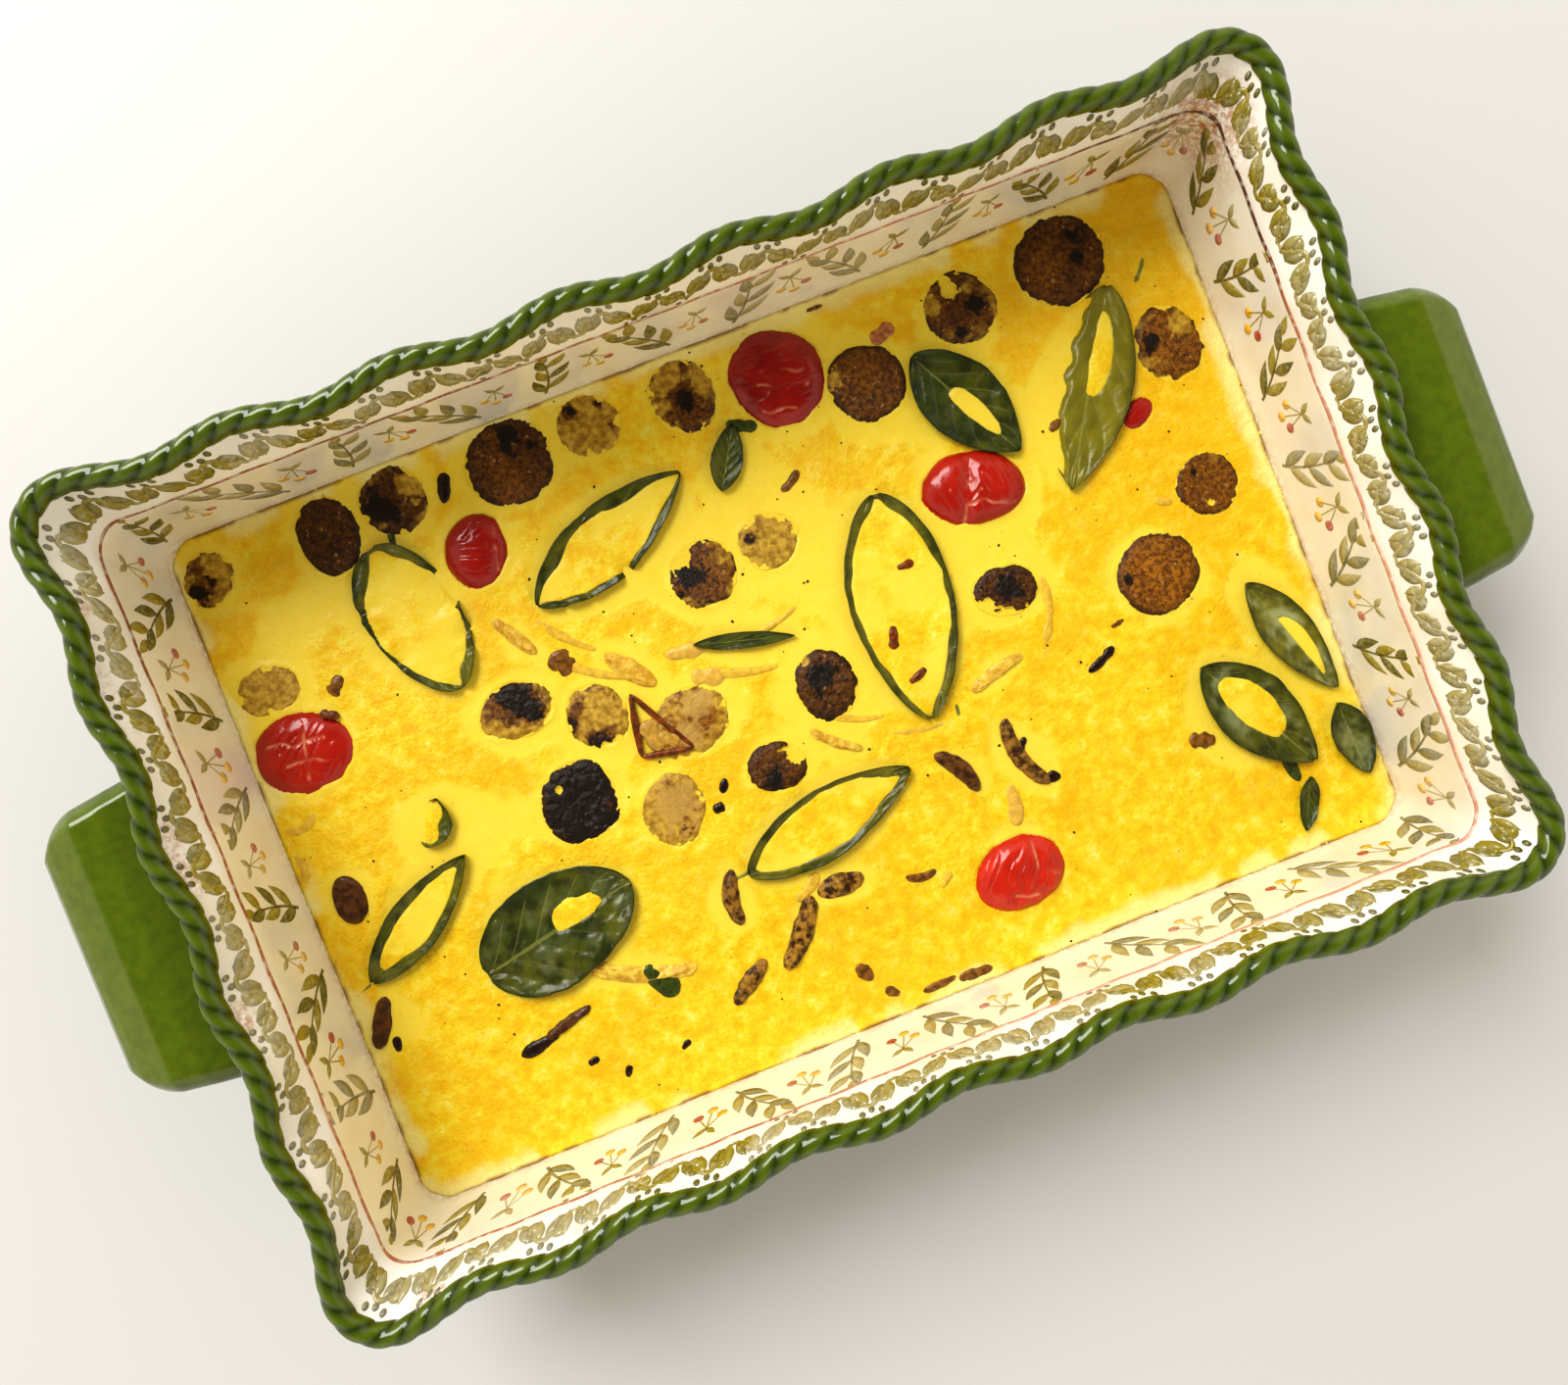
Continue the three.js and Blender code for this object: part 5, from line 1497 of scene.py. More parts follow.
def tomato_material():
    """Wet skin from deep to bright red, patchy, with pale splits, and painted highlights on tomato 1's
    wrinkles.
    """
    made, tree, shader, place = new_finish("tomato_finish")
    patchy = reshape(tree, noise_at(tree, place, 5.0, 3), 0.4, 0.7, 0.0, 0.5)
    base = overlaid(tree, blend(tree, read(tree, "bright"), TOMATO_DEEP, TOMATO_BRIGHT),
                    (patchy, TOMATO_PATCH), (read(tree, "split_and_highlight"), PALE_SPLIT_HIGHLIGHT))
    tree.links.new(base, shader.inputs["Base Color"])
    gloss(shader, 0.17, coat=0.2, sheer=0.10, radius=(1.0, 0.2, 0.1), depth=0.0015, mirror=0.4)
    bump(tree, shader, noise_at(tree, place, 2.0, 3), 0.12)
    return made


TOMATO = tomato_material()


def split_distances(number, x, y, outline):
    """How far the points are from each pale line of one tomato, in millimetres; on tomato 1 they are painted
    highlights.
    """
    found = []
    wander = 0.9 * grain(x, y, 4.0, number + 66)
    for right_a, up_a, right_b, up_b in CREASES.get(number, ()):
        (ax, ay), (bx, by) = outline.seen_at(right_a, up_a), outline.seen_at(right_b, up_b)
        run = ((x - ax) * (bx - ax) + (y - ay) * (by - ay)) / ((bx - ax) ** 2 + (by - ay) ** 2)
        run = np.clip(run, 0, 1)
        found.append(np.hypot(x - ax - run * (bx - ax) + wander, y - ay - run * (by - ay) + wander))
    return found or [np.full(x.shape, 99.0)]


def tomato_piece(number):
    node = f"tomato_{number}"
    turn, depth, bright = TOMATOES[number]
    outline = OUTLINES[node]
    flat, share = disc(outline, number * 5.1, TOMATO_SPOKES, TOMATO_RINGS, rough=0.2)
    x, y = flat.T
    dx, dy = x - outline.centre[0], y - outline.centre[1]
    angle = math.radians(turn)
    along, over = dx * math.cos(angle) + dy * math.sin(angle), -dx * math.sin(angle) + dy * math.cos(angle)
    wrinkle = grain(along / 9 + number, over / 1.9, 1.0, number) * ramp(-share, -0.95, -0.5)
    rise = outline.top - EGG_Z - 0.3
    dome = np.sqrt(np.clip(1 - share ** 2.6, 0, 1))
    height = egg_top(x, y) - 0.8 + (rise - 0.1) * dome
    height += depth * (0.4 * wrinkle - 1.2 * (1 - np.abs(wrinkle)) ** 6)
    height +=0.35 * layered(x, y, 8, number + 60) * dome
    splits = split_distances(number, x, y, outline)
    if number in LOBED:
        which, valley = LOBED[number]
        height -= valley * np.exp(-(splits[which] / 2.6) ** 2) * dome
    nearest_pale_line = np.min(splits, axis=0)
    height -= 0.30 * np.exp(-(nearest_pale_line / 0.7) ** 2) * dome
    height = np.minimum(height, outline.top)
    # The pale lines' colour: splits in the skin, and on tomato 1 painted highlight.
    split_and_highlight = 0.75 * np.exp(-(nearest_pale_line / 0.42) ** 2) * ramp(-share, -0.98, -0.85)
    split_and_highlight = split_and_highlight * ramp(grain(x, y, 5, number + 70), -0.6, 0.2)
    points, faces = close_below(np.column_stack([flat, height]), disc_faces(TOMATO_SPOKES, TOMATO_RINGS),
                                TOMATO_SPOKES, TOMATO_RINGS, TOPPING_FOOT)
    numbers = {"bright": np.clip(bright + 0.3 * layered(x, y, 9, number + 80), 0, 1), "split_and_highlight": split_and_highlight}
    return make_piece(f"tomato_skin_{number}", points, faces, [TOMATO], nodes=[node],
                      attributes=down_the_wall(numbers, TOMATO_SPOKES))


for number in TOMATOES:
    tomato_piece(number)
print("tomatoes", len(TOMATOES))

# %% [markdown]
# ## The basil leaves
# A wilted leaf lies like a shallow boat: its rim turns up and its middle fills with egg. The leaf is a grid
# from stem to tip and from side to side, with pale veins pressed in and the skin puffed up between them. The
# pool of egg in it is a piece of its own, thin at its ragged edge.

# %% Model the basil leaves
LEAVES = {
    # number: x, y, length, width, turn, pool from stem, pool to tip, pool width, dark
    1: (-103, 62, 52, 31, -78, 0.02, 0.98, 0.955, 0.5),
    2: (-38, 63.5, 62, 25, 22, 0.01, 0.99, 0.90, 0.7),
    3: (6, 74, 22, 11, 60, 0.0, 0.0, 0.0, 0.8),
    4: (-10, 18.5, 33, 6, -16, 0.0, 0.0, 0.0, 0.8),
    5: (40.5, 10, 74, 35, -97, 0.02, 0.985, 0.955, 0.4),
    6: (82.5, 62.5, 46, 26, -62, 0.36, 0.82, 0.30, 0.9),
    7: (121, 53, 66, 29, -121, 0.12, 0.54, 0.30, 0.0),
    8: (134.5, -63.5, 48, 26, -60, 0.16, 0.72, 0.55, 0.7),
    9: (153.5, -44, 45, 17, -70, 0.35, 0.88, 0.32, 0.35),
    10: (160.5, -82, 25, 14, -88, 0.0, 0.0, 0.0, 0.85),
    11: (139.5, -96.5, 18, 7, -116, 0.0, 0.0, 0.0, 0.9),
    12: (-6, -44.5, 62, 23, 12, 0.05, 0.93, 0.87, 0.4),
    13: (-137, -25.5, 50, 18, 33, 0.10, 0.90, 0.72, 0.6),
    14: (-97.5, -44.5, 54, 37, 12, 0.48, 0.80, 0.30, 0.85),
    15: (-122, 1, 16, 14, 60, 0.05, 0.95, 0.78, 0.7),
}
FOLDS = {
    # number: folds that stay above the egg, as (place from the stem, side, length, how far in)
    1: [(0.08, -1, 0.13, 0.42), (0.10, 1, 0.06, 0.20), (0.93, 1, 0.07, 0.55), (0.97, -1, 0.05, 0.3)],
    2: [(0.22, 1, 0.11, 0.30), (0.68, 1, 0.16, 0.34), (0.80, -1, 0.10, 0.16), (0.03, -1, 0.05, 0.5)],
    5: [(0.04, -1, 0.05, 0.45), (0.06, 1, 0.04, 0.25), (0.96, 1, 0.05, 0.3), (0.60, 1, 0.15, 0.05)],
    12: [(0.93, 1, 0.09, 0.75), (0.80, -1, 0.10, 0.15), (0.05, 1, 0.05, 0.4), (0.35, -1, 0.15, 0.10)],
    13: [(0.12, -1, 0.16, 0.30), (0.90, -1, 0.10, 0.35), (0.55, 1, 0.20, 0.12)],
    14: [(0.72, 1, 0.10, 0.25)], 15: [(0.45, -1, 0.25, 0.55), (0.95, 1, 0.2, 0.5)],
}
BROKEN = {1: 3.4, 2: 4.5, 5: 0.6, 12: 0.5, 13: 0.6}
DROWNED_SIDE = {15: (1, 0.1, 0.6), 7: (-1, 0.40, 0.75)}
LEAF_CLEAR = 0.35
LEAF_RISE = 0.55
LEAF_THICK = 0.65
LEAF_ROWS, LEAF_COLUMNS = 84, 52
POOL_ROWS, POOL_COLUMNS = 60, 26
VEINS = 6
LEAF_LIGHT, LEAF_DARK, LEAF_PATCH = (0.235, 0.205, 0.012), (0.040, 0.062, 0.006), (0.018, 0.022, 0.003)
LEAF_VEIN, LEAF_RIM, LEAF_FILM = (0.30, 0.32, 0.07), (0.020, 0.030, 0.002), (0.40, 0.43, 0.20)
POOL_SHIFT = {7: 0.18, 6: 0.05, 14: 0.14, 8: 0.10, 9: 0.30}
WRINKLED = {14: 2.2, 8: 1.5, 9: 1.3, 10: 1.6, 11: 1.5}
BLUNT_ENDS = {1: 0.48, 5: 0.60, 12: 0.66, 14: 0.50}
FILMED = {8: 0.55, 9: 0.75, 10: 0.35, 14: 0.15}


def leaf_half(number, u, width):
    """Half the width of a leaf at the share u from stem to tip."""
    return 0.5 * width * np.sin(math.pi * np.clip(u, 0, 1) ** 0.88) ** BLUNT_ENDS.get(number, 0.72)


def fold_depth(number, u, side):
    """How far in from the rim the leaf's folds reach, as a share of its half width."""
    depth = np.zeros(np.shape(u))
    for place, on_side, length, reach in FOLDS.get(number, ()):
        depth += reach * np.exp(-((u - place) / length) ** 2) * (side == on_side)
    return depth


def leaf_place(number, u, v, margin=0.0):
    """Where the point at u from the stem and v to the side lies, with its height."""
    x0, y0, length, width, turn = LEAVES[number][:5]
    rise = LEAF_RISE * min(2.4, 0.16 * width)
    uneven = 1 - 0.045 * (1 + layered(u * 7 + number, np.sign(v) * 4 + number, 1.0, number))
    half = np.maximum(leaf_half(number, u, width) * uneven - margin, 0.0)
    run, side = (u - 0.5) * (length - 2 * margin), v * half
    heading = math.radians(turn)
    x = x0 + run * math.cos(heading) - side * math.sin(heading)
    y = y0 + run * math.sin(heading) + side * math.cos(heading)
    edge = np.abs(v) ** 2.5
    ripple = 0.35 * (1 + np.sin(11 * u + number - 1 + 2 * v)) * edge
    drowned = ramp(layered(u * 6.5 + 3 * number, np.sign(v) * 3, 1.0, number + 8), 0.0, 0.5)
    dip = BROKEN.get(number, 0.0) * drowned * edge * ramp(-fold_depth(number, u, np.sign(v)), -0.15, 0.0)
    if number in DROWNED_SIDE:
        on_side, shallow, deep = DROWNED_SIDE[number]
        uneven_shore = 0.12 * layered(x, y, 7, number + 12)
        dip = dip + 3.2 * ramp(on_side * v + uneven_shore, shallow, deep) * ramp(np.abs(2 * u - 1), 1.0, 0.75)
    return x, y, egg_top(x, y) + LEAF_CLEAR + rise * edge + ripple - dip


def leaf_material():
    """Light to dark leaf with darker patches, pale veins, a dark rim and milky film."""
    made, tree, shader, place = new_finish("basil_finish")
    patches = reshape(tree, noise_at(tree, place, 6.0, 3), 0.40, 0.66, 0.0, 0.8)
    patch = times(tree, patches, reshape(tree, read(tree, "dark"), 0.0, 0.7, 0.25, 1.0))
    base = overlaid(tree, blend(tree, read(tree, "dark"), LEAF_LIGHT, LEAF_DARK), (patch, LEAF_PATCH),
                    (reshape(tree, read(tree, "vein"), 0.3, 1.0, 0.0, 0.55), LEAF_VEIN),
                    (read(tree, "edge"), LEAF_RIM), (read(tree, "film"), LEAF_FILM))
    tree.links.new(base, shader.inputs["Base Color"])
    gloss(shader, 0.28, coat=0.08, coat_roughness=0.12, mirror=0.35)
    bump(tree, shader, noise_at(tree, place, 1.4, 3), 0.15)
    return made


BASIL = leaf_material()


def pool_cover(number, u, v):
    """1 where the pool of egg covers the leaf, 0 outside it."""
    start, end, wide = LEAVES[number][5:8]
    if end <= start:
        return np.zeros(np.shape(u))
    along = np.clip((u - start) / (end - start), 0, 1)
    oval = np.clip(4 * along * (1 - along), 0, 1) ** 0.25
    shift = POOL_SHIFT.get(number, 0.0)
    reach = wide * oval * np.clip(1 - fold_depth(number, u, np.sign(v)), 0.05, 1)
    return ramp(reach - np.abs(v - shift * oval), 0.0, 0.14) * (along > 0) * (along < 1)


def leaf_piece(number):
    dark = LEAVES[number][8]
    u, v = np.meshgrid(np.linspace(0.004, 0.996, LEAF_ROWS), np.linspace(-1, 1, LEAF_COLUMNS), indexing="ij")
    x, y, height = leaf_place(number, u, v, margin=0.15)
    slant = (u - 0.34 * np.abs(v)) * VEINS
    to_vein = np.abs(slant - np.round(slant)) / VEINS
    midrib = np.exp(-(v / 0.05) ** 2)
    vein = np.maximum(midrib, np.exp(-(to_vein / 0.012) ** 2) * ramp(-np.abs(v), -0.95, -0.7) * 0.8)
    vein *= ramp(u, 0.0, 0.08)
    puff = 0.45 * np.sqrt(np.clip(to_vein * VEINS * 2, 0, 1)) * ramp(-np.abs(v), -1, -0.6)
    size = min(1.0, LEAVES[number][3] / 25)
    crinkle = 0.30 * WRINKLED.get(number, 1.0) * layered(u * 14, v * 5, 1.0, number + 90, 3)
    bare = 1 - pool_cover(number, u, v)
    upper = height + LEAF_THICK + size * bare * (puff + crinkle - 0.15 * vein) - 0.25 * (1 - bare)
    lower = height + 0.2 * ramp(np.abs(v), 0.9, 1.0)
    shade = np.clip(dark + 0.35 * layered(x, y, 9, number + 95), 0, 1)
    edge = ramp(np.abs(v), 0.80, 1.0) * 0.6
    film = FILMED.get(number, 0.0) * ramp(layered(x, y, 5.5, number + 97), -0.25, 0.45)
    film = film * ramp(-np.abs(v), -0.92, -0.6)
    numbers = on_both_sheets({"dark": shade, "vein": vein, "edge": edge, "film": film})
    return make_piece(f"basil_{number}", sheets(x, y, upper, lower), slab_faces(LEAF_ROWS, LEAF_COLUMNS),
                      [BASIL], nodes=[f"basil_leaf_{number}"], attributes=numbers)


def pool_piece(number):
    """The egg that fills the middle of a leaf."""
    start, end, wide = LEAVES[number][5:8]
    if end <= start:
        return None
    shift = POOL_SHIFT.get(number, 0.0)
    u, v = np.meshgrid(start + (end - start) * (1 - np.cos(np.linspace(0, 1, POOL_ROWS) * math.pi)) / 2,
                       np.linspace(-1, 1, POOL_COLUMNS), indexing="ij")
    along = (u - start) / (end - start)
    oval = np.sqrt(np.clip(1 - (2 * along - 1) ** 2, 0, 1)) ** 0.5
    side = np.sign(v)
    ragged = 1 + 0.06 * (grain(u * 5, side * 3, 1.0, number + 3) - 0.4)
    ragged += 0.05 * grain(u * 13, side * 5, 1.0, number + 4)
    ragged *= np.clip(1 - fold_depth(number, u, side), 0.05, 1)
    spot = np.clip(shift * oval + v * wide * oval * ragged, -0.965, 0.965)
    x, y, height = leaf_place(number, u, spot, margin=0.15)
    depth = np.clip(1 - v ** 2, 0, 1) * np.clip(4 * along * (1 - along), 0, 1)
    lens = height + LEAF_THICK - 0.35 + 1.05 * depth ** 0.4 + 0.10 * layered(x, y, 6, number + 5) * depth
    base = height + LEAF_THICK - 0.9
    cream = ramp(layered(x, y, 12, number + 6), -0.35, 0.35)
    gold = np.clip(0.3 + 0.5 * layered(x, y, 9, number + 7), 0, 1)
    none = np.zeros(u.shape)
    numbers = {"cream": cream, "gold": gold, "curd": 0.4 * (1 - cream), "brown": none, "froth": none}
    return make_piece(f"leaf_pool_{number}", sheets(x, y, lens, base), slab_faces(POOL_ROWS, POOL_COLUMNS),
                      [EGG], attributes=on_both_sheets(numbers))


pools = [number for number in LEAVES if leaf_piece(number) and pool_piece(number)]
print("leaves", len(LEAVES), "with egg in", len(pools))

# %% [markdown]
# ## The mushroom and onion bits
# These are small and crooked, and their nodes already bend the right way. Each is a copy of its node, divided
# finer and roughened with noise, so that it keeps the node's place and bend and loses its flat facets.

# %% Roughen the bits
MUSHROOMS, ONIONS = 9, 5
BIT_SPECK = (0.03, 0.012, 0.004)


def bit_material(name, dark, light, golden, rough, sheer, speckled):
    """Small soft food, dark and light in patches, with dark specks."""
    made, tree, shader, place = new_finish(name)
    bright = blend(tree, read(tree, "golden"), light, golden)
    mixed = blend(tree, reshape(tree, noise_at(tree, place, 2.6, 3, 0.6), 0.36, 0.64), dark, bright)
    specks = reshape(tree, noise_at(tree, place, 1.0, 2), 0.60, 0.70, 0.0, speckled)
    tree.links.new(blend(tree, specks, mixed, BIT_SPECK), shader.inputs["Base Color"])
    gloss(shader, rough, sheer=sheer, mirror=0.35)
    bump(tree, shader, noise_at(tree, place, 1.1, 3), 0.25)
    return made


MUSHROOM = bit_material("mushroom_finish", (0.045, 0.015, 0.003), (0.13, 0.045, 0.010), (0.56, 0.30, 0.04),
                        0.30, 0.0, 0.35)
ONION = bit_material("onion_finish", (0.62, 0.34, 0.030), (0.82, 0.55, 0.08), (0.90, 0.66, 0.10),
                     0.25, 0.2, 0.2)
GOLDEN = {"mushroom_5": 0.8, "mushroom_6": 0.7, "mushroom_7": 0.5, "mushroom_8": 0.55, "mushroom_9": 0.75,
          "mushroom_2": 0.1, "onion_5": 1.0, "onion_3": 0.6, "onion_4": 0.5}


def roughened(node, name, material, seed):
    """A node's mesh divided finer and drawn in unevenly, with its top no higher than before."""
    work = bmesh.new()
    work.from_mesh(NODES[node].data)
    bmesh.ops.remove_doubles(work, verts=work.verts, dist=SAME_PLACE_M)
    bmesh.ops.subdivide_edges(work, edges=work.edges, cuts=2, use_grid_fill=True, smooth=0.6)
    bmesh.ops.triangulate(work, faces=work.faces)
    bmesh.ops.subdivide_edges(work, edges=work.edges, cuts=1, use_grid_fill=True)
    top = max(vert.co.z for vert in work.verts)
    for vert in work.verts:
        x, y = vert.co.x / MM, vert.co.y / MM
        inward = 0.5 + 0.5 * float(layered(x + 3 * seed, y, 2.2, seed))
        vert.co -= Vector((vert.normal.x, vert.normal.y, 0.6 * vert.normal.z)) * 0.7 * inward * MM
        vert.co.z = min(vert.co.z, top)
    mesh = bpy.data.meshes.new(name)
    work.to_mesh(mesh)
    work.free()
    mesh.materials.append(material)
    mesh.polygons.foreach_set("use_smooth", np.ones(len(mesh.polygons), bool))
    keep_numbers(mesh, "golden", np.full(len(mesh.vertices), GOLDEN.get(node, 0.0)))
    return carry(place_object(name, mesh), [node])


for number in range(1, MUSHROOMS + 1):
    roughened(f"mushroom_{number}", f"mushroom_bit_{number}", MUSHROOM, number)
for number in range(1, ONIONS + 1):
    roughened(f"onion_{number}", f"onion_bit_{number}", ONION, 20 + number)
print("bits roughened:", MUSHROOMS, "mushroom,", ONIONS, "onion")

# %% [markdown]
# ## Scraps
# Between the named pieces lie scraps too small for the construction model: browned strips, pale curls of
# onion, leaf stems and the browned triangle of onion that leans on one slice. Each is a short bent strip with
# a rounded back, given by its place, its size, how far it bends and what it is made of.

# %% Lay out the scraps
SCRAPS = [
    # x, y, length, width, turn, bend in degrees, kind
    (-80, 97, 10, 4, 70, 10, "dark"), (66, 93, 9, 6, 20, 30, "pink"), (-66, 33, 9, 7, -60, 20, "brown"),
    (-160, 15, 12, 3, 10, 120, "pale"), (-165, 2, 11, 3.5, 80, 100, "pale"),
    (94, -29, 12, 3.2, 24, 20, "dark"),
    (103, -20, 5, 2, 10, 0, "brown"), (131, 11, 6, 3, -30, 20, "pale"), (115, -65, 9, 5, -20, 0, "brown"),
    (-37, -28, 4, 3.6, 0, 0, "dark"), (-33, -22, 5, 2.6, 60, 10, "dark"), (15, -72, 11, 3, -10, 70, "brown"),
    (22, -76, 6, 3, 40, 20, "pale"), (-13, -94, 7, 4.6, -60, 10, "brown"),
    (-7, -103, 5, 3.4, -40, 0, "brown"), (8, -106.5, 12, 3, 3, 0, "brown"),
    (20, -107.5, 12, 3.4, -2, 0, "brown"), (-103, -88, 4, 2.4, 10, 0, "dark"),
    (-94, -95, 4, 2.6, 60, 0, "dark"), (-74, -94, 4, 2.2, 30, 0, "dark"), (-117, -77, 14, 4, 10, 10, "dark"),
    (-51.8, 6, 20, 1.9, -101, 0, "roast"), (-45.5, -5.6, 17, 1.8, -11, 8, "roast"),
    (-43.6, 4.4, 26, 1.7, -61, 6, "roast"), (-47.8, 1.0, 11, 7, -80, 0, "glassy"),
    (-44, -1.5, 9, 5, -30, 0, "glassy"), (14, 82, 10, 4, -25, 20, "leafy"),
    (-25, 12, 11, 6, -20, 10, "clear"), (-58, 27, 26, 3.4, -35, 30, "pale"),
    (-62, 40, 22, 3.0, -48, 25, "pale"), (-15, 10, 26, 3.0, -18, 25, "pale"),
    (12, -16, 24, 2.6, -28, 40, "pale"), (31, -28, 18, 2.6, -12, 20, "pale"),
    (0, 20, 20, 2.4, 12, 15, "pale"), (-28, 22, 15, 5.5, -8, 10, "clear"),
    (83, -8, 24, 3.2, 70, 50, "pale"), (51, -62, 14, 5, 78, 30, "clear"), (107, 46, 5, 3, 30, 0, "brown"),
    (22, 60, 9, 3, 30, 40, "brown"), (-134, 52, 7, 5, 40, 20, "brown"), (-139, 44, 6, 3, -30, 0, "roast"),
    (60, -45, 6, 3, 45, 0, "dark"), (66, -58, 5, 3.4, -20, 0, "dark"), (-20, -62, 12, 3.6, 30, 40, "pale"),
    (37, -12, 7, 3, 20, 20, "roast"), (34, 2, 8, 4, 70, 10, "roast"), (46, 22, 6, 3, 0, 20, "roast"),
    (-104, 40, 3, 2, 0, 0, "brown"), (-158.5, -60, 5, 2.6, 80, 0, "dark"), (49, 108, 6, 2, 0, 0, "brown"),
    (123, 93, 4, 2, 20, 0, "brown"), (45, -27, 4, 1.2, -97, 0, "stem"), (-163, -40.5, 9, 1.3, 15, 10, "stem"),
    (150, 82, 9, 1.4, 50, 20, "stem"), (-101, 88, 7, 2.2, 80, 25, "leafy"), (58, 85, 7, 1.6, -50, 15, "stem"),
    (-37, -50.5, 8, 1.4, 8, 0, "stem"), (139, -82, 14, 3.4, -85, 20, "leafy"),
    (-74, -72, 14, 7, -55, 10, "leafy"),
]
SCRAP_LOOKS = {
    # kind: colour, how uneven it is, how far its back is lifted, slot
    "dark": ((0.020, 0.006, 0.003), 0.45, 0.0, "browned_mushroom"),
    "brown": ((0.21, 0.085, 0.012), 0.45, 0.0, "browned_mushroom"),
    "pink": ((0.50, 0.19, 0.07), 0.35, 0.0, "soft_onion"),
    "pale": ((0.78, 0.50, 0.050), 0.14, -0.1, "soft_onion"),
    "roast": ((0.19, 0.045, 0.006), 0.45, 1.5, "soft_onion"),
    "glassy": ((0.52, 0.30, 0.05), 0.20, 1.25, "soft_onion"),
    "clear": ((0.74, 0.46, 0.075), 0.14, -0.1, "soft_onion"),
    "stem": ((0.22, 0.24, 0.04), 0.30, 0.0, "basil_leaf"),
    "leafy": ((0.045, 0.065, 0.008), 0.40, 0.3, "basil_leaf"),
}
SCRAP_ROWS, SCRAP_COLUMNS = 20, 9


def scrap_points(x, y, length, width, turn, bend, lift, seed):
    """A bent strip with a rounded back, as a grid on top and the same grid lower down."""
    t, w = np.meshgrid(np.linspace(0, 1, SCRAP_ROWS), np.linspace(-1, 1, SCRAP_COLUMNS), indexing="ij")
    heading = math.radians(turn) + math.radians(bend) * (t - 0.5)
    step = length / (SCRAP_ROWS - 1)
    run_x = np.cumsum(np.cos(heading), axis=0) * step
    run_y = np.cumsum(np.sin(heading), axis=0) * step
    run_x, run_y = run_x - run_x.mean(), run_y - run_y.mean()
    half = width / 2 * np.clip(1 - (2 * t - 1) ** 4, 0.02, 1) ** 0.6
    half *= 1 + 0.25 * grain(t * 5, w * 0 + seed, 1.0, seed)
    px, py =x + run_x - np.sin(heading) * w * half, y + run_y + np.cos(heading) * w * half
    back = np.sqrt(np.clip(1 - w ** 2, 0, 1)) * np.clip(4 * t * (1 - t), 0, 1) ** 0.3
    rise = min(1.0, 0.22 * width + 0.15)
    top = egg_top(px, py) - 0.15 + lift + rise * back + 0.15 * layered(px, py, 2.0, seed) * back
    return sheets(px, py, top, egg_top(px, py) - 1.2)


def scrap_material(kind):
    """The colour of one kind of scrap, uneven by its own amount."""
    made, tree, shader, place = new_finish(f"scrap_{kind}")
    base, uneven = SCRAP_LOOKS[kind][:2]
    darker = tuple((1 - uneven) * c for c in base)
    lighter = tuple(min(1.0, (1 + 0.8 * uneven) * c) for c in base)
    patches = reshape(tree, noise_at(tree, place, 1.8, 3), 0.35, 0.65)
    tree.links.new(blend(tree, patches, darker, lighter), shader.inputs["Base Color"])
    gloss(shader, 0.25, mirror=0.35)
    bump(tree, shader, noise_at(tree, place, 1.0, 3), 0.2)
    return made


for kind, (_, _, lift, slot) in SCRAP_LOOKS.items():
    strips = [scrap_points(*row[:6], lift, seed) for seed, row in enumerate(SCRAPS) if row[6] == kind]
    faces = [tuple(count * len(strips[0]) + k for k in face)
             for count in range(len(strips)) for face in slab_faces(SCRAP_ROWS, SCRAP_COLUMNS)]
    make_piece(f"scraps_{kind}", np.concatenate(strips), faces, [scrap_material(kind)])
print("scraps", len(SCRAPS))

# %% [markdown]
# ## Crumbs and bubbles
# Two kinds of small things are sprinkled by chance: dark crumbs all over the egg, and bubbles that gather
# where the egg frothed, by the walls and round the slices. Geometry Nodes scatter them on the egg, each with
# its own size, sunk to their middle. The seed is fixed, so the sprinkling is always the same.

# %% Sprinkle the crumbs and bubbles
CRUMB_DENSITY, BUBBLE_DENSITY = 26000.0, 60000.0
CRUMB_SIZES, BUBBLE_SIZES = (0.10, 0.55), (0.22, 0.60)
CRUMB_BROWN, BUBBLE_GOLD = (0.045, 0.014, 0.003), (0.93, 0.74, 0.12)
BALL_POINTS = 42


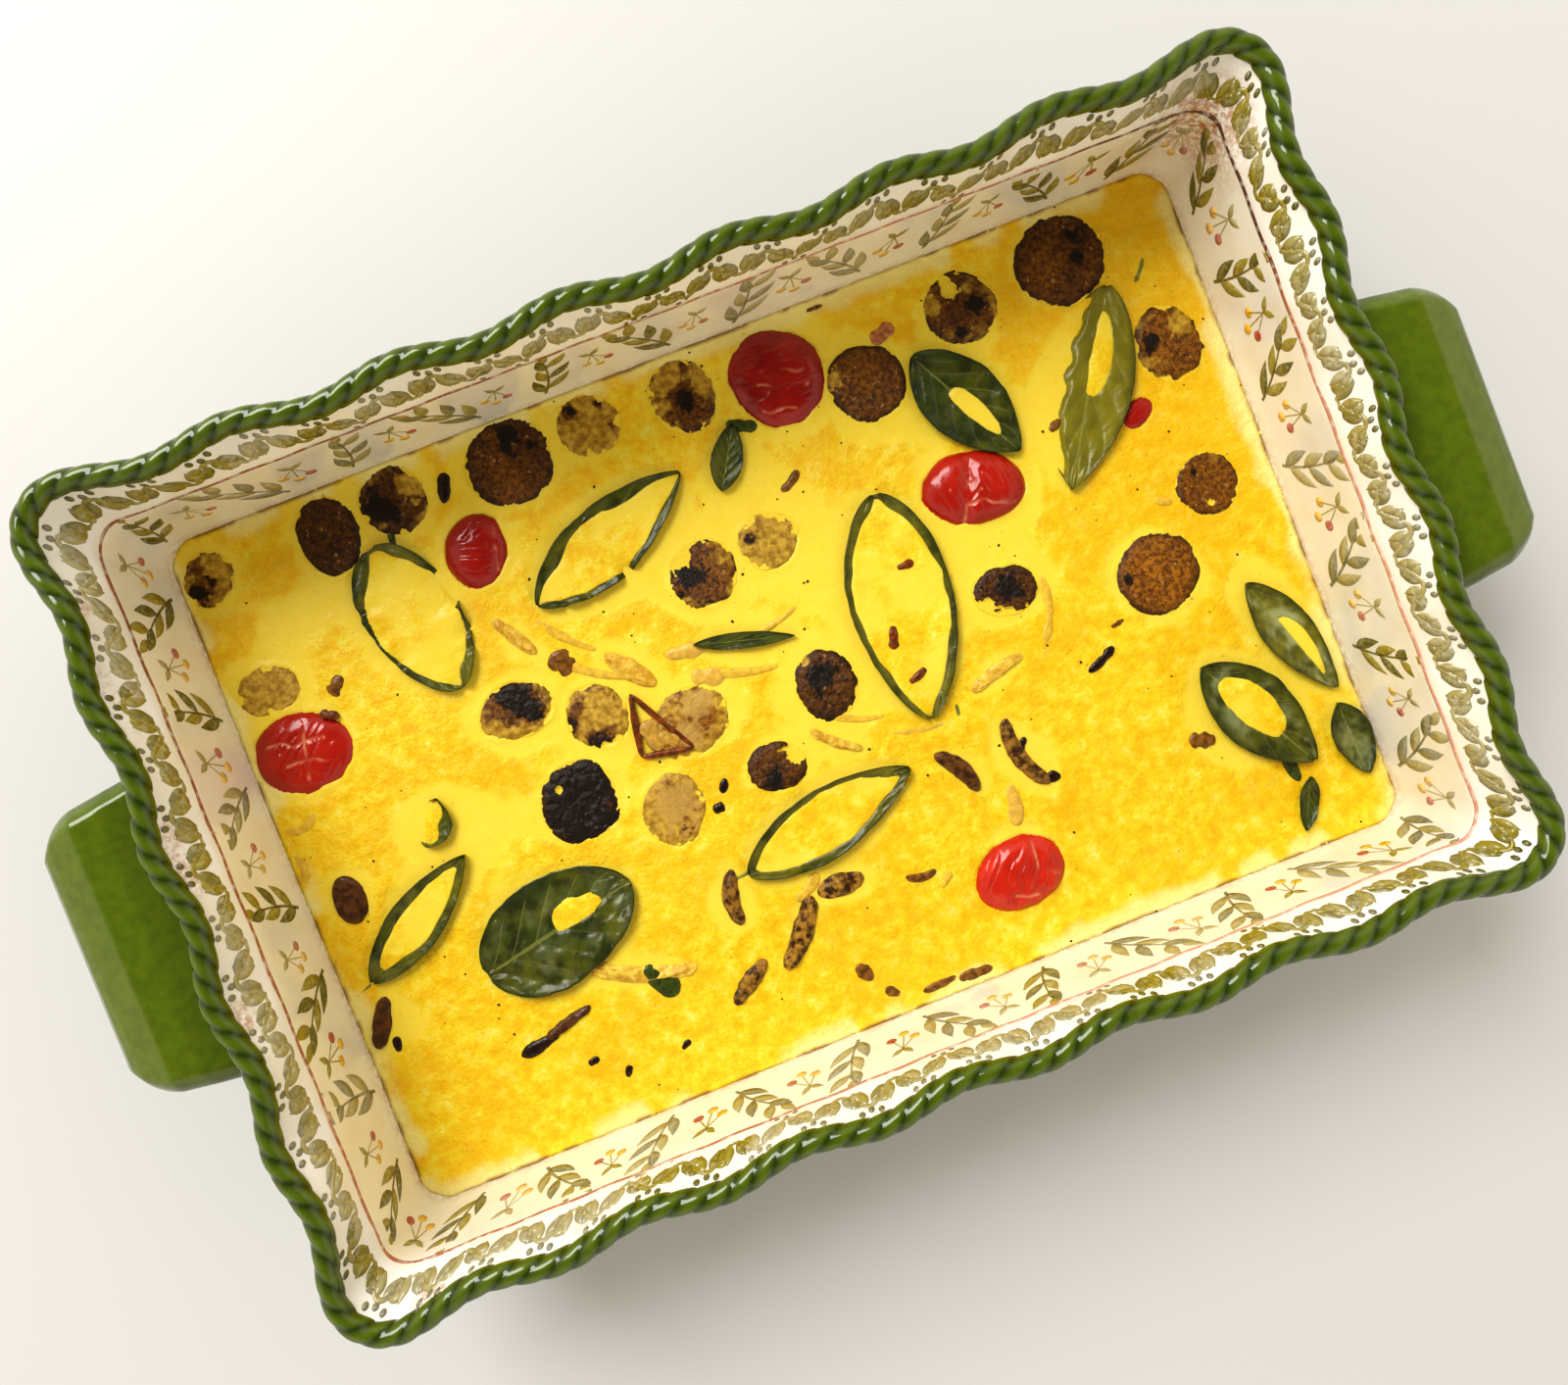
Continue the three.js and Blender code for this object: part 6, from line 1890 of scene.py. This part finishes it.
def sprinkle_tree(name, density, sizes, flatness, weighting, finish, seed):
    """Small balls scattered over the surface, more of them where the weighting attribute is high."""
    tree = Tree(name)
    dense = tree.input("Density", "NodeSocketFloat", density)
    smallest = tree.input("Smallest", "NodeSocketFloat", sizes[0] * MM)
    largest = tree.input("Largest", "NodeSocketFloat", sizes[1] * MM)
    start = tree.input("Seed", "NodeSocketInt", seed)
    paint = tree.input("Finish", "NodeSocketMaterial", finish)
    weight = tree.node("GeometryNodeInputNamedAttribute", ("Name", weighting), data_type="FLOAT")
    share = tree.math("MULTIPLY", weight.outputs[0], dense)
    spots = tree.node("GeometryNodeDistributePointsOnFaces", ("Mesh", tree.source.outputs["Geometry"]),
                      ("Density", share), ("Seed", start))
    ball = tree.node("GeometryNodeMeshIcoSphere", ("Radius", 1.0), ("Subdivisions", 2))
    size = tree.node("FunctionNodeRandomValue", ("Min", 0.0), ("Max", 1.0), ("Seed", start))
    skewed = tree.math("POWER", size.outputs["Value"], 2.2)
    span = tree.math("SUBTRACT", largest, smallest)
    radius = tree.math("ADD", smallest, tree.math("MULTIPLY", skewed, span))
    scale = tree.xyz(radius, tree.math("MULTIPLY", radius, 0.8), tree.math("MULTIPLY", radius, flatness))
    placed = tree.node("GeometryNodeInstanceOnPoints", ("Points", spots.outputs["Points"]),
                       ("Instance", ball.outputs["Mesh"]), ("Rotation", spots.outputs["Rotation"]),
                       ("Scale", scale))
    tree.end(placed.outputs[0], paint)
    return tree


def sprinkled(name, weights, density, sizes, flatness, finish, seed):
    """Sprinkles one kind over the egg and returns how many there are."""
    lent = carrier_of(name + "_ground", np.column_stack([grid_x, grid_y, egg_height]),
                      faces=grid_faces(egg_columns, egg_rows))
    keep_numbers(lent.data, "weight", weights)
    made = sprinkle_tree(name + "_scatter", density, sizes, flatness, "weight", finish, seed).run(lent, name)
    carry(made)
    return len(made.data.vertices) // BALL_POINTS


def plain_finish(name, colour, roughness):
    """One colour all over."""
    made, _, shader = new_material(name)
    shader.inputs["Base Color"].default_value = (*colour, 1)
    gloss(shader, roughness, mirror=0.35)
    return made


nearest = np.min([OUTLINES[f"sausage_slice_{k}"].beyond(grid_x, grid_y) for k in SLICES], axis=0)
open_egg = ramp(np.min([one.beyond(grid_x, grid_y) for one in OUTLINES.values()], axis=0), 0.2, 1.0)
crumb_weight = open_egg * (0.35 * ramp(layered(grid_x, grid_y, 22, 71), -0.5, 0.7)
                           + 1.6 * ramp(-nearest, -4.5, 0.5) * ramp(grain(grid_x, grid_y, 9, 75), -0.3, 0.6))
by_slices = ramp(-nearest, -4.5, -0.5) * ramp(grain(grid_x, grid_y, 14, 73), -0.1, 0.7)
bubble_weight = open_egg * np.clip(0.5 * egg_numbers["froth"] + by_slices, 0, 1)
CRUMB = plain_finish("crumb_finish", CRUMB_BROWN, 0.5)
BUBBLE = plain_finish("bubble_finish", BUBBLE_GOLD, 0.15)
crumbs = sprinkled("crumbs", crumb_weight, CRUMB_DENSITY, CRUMB_SIZES, 0.6, CRUMB, 5)
bubbles = sprinkled("bubbles", bubble_weight, BUBBLE_DENSITY, BUBBLE_SIZES, 0.45, BUBBLE, 9)
print("crumbs", crumbs, "bubbles", bubbles)
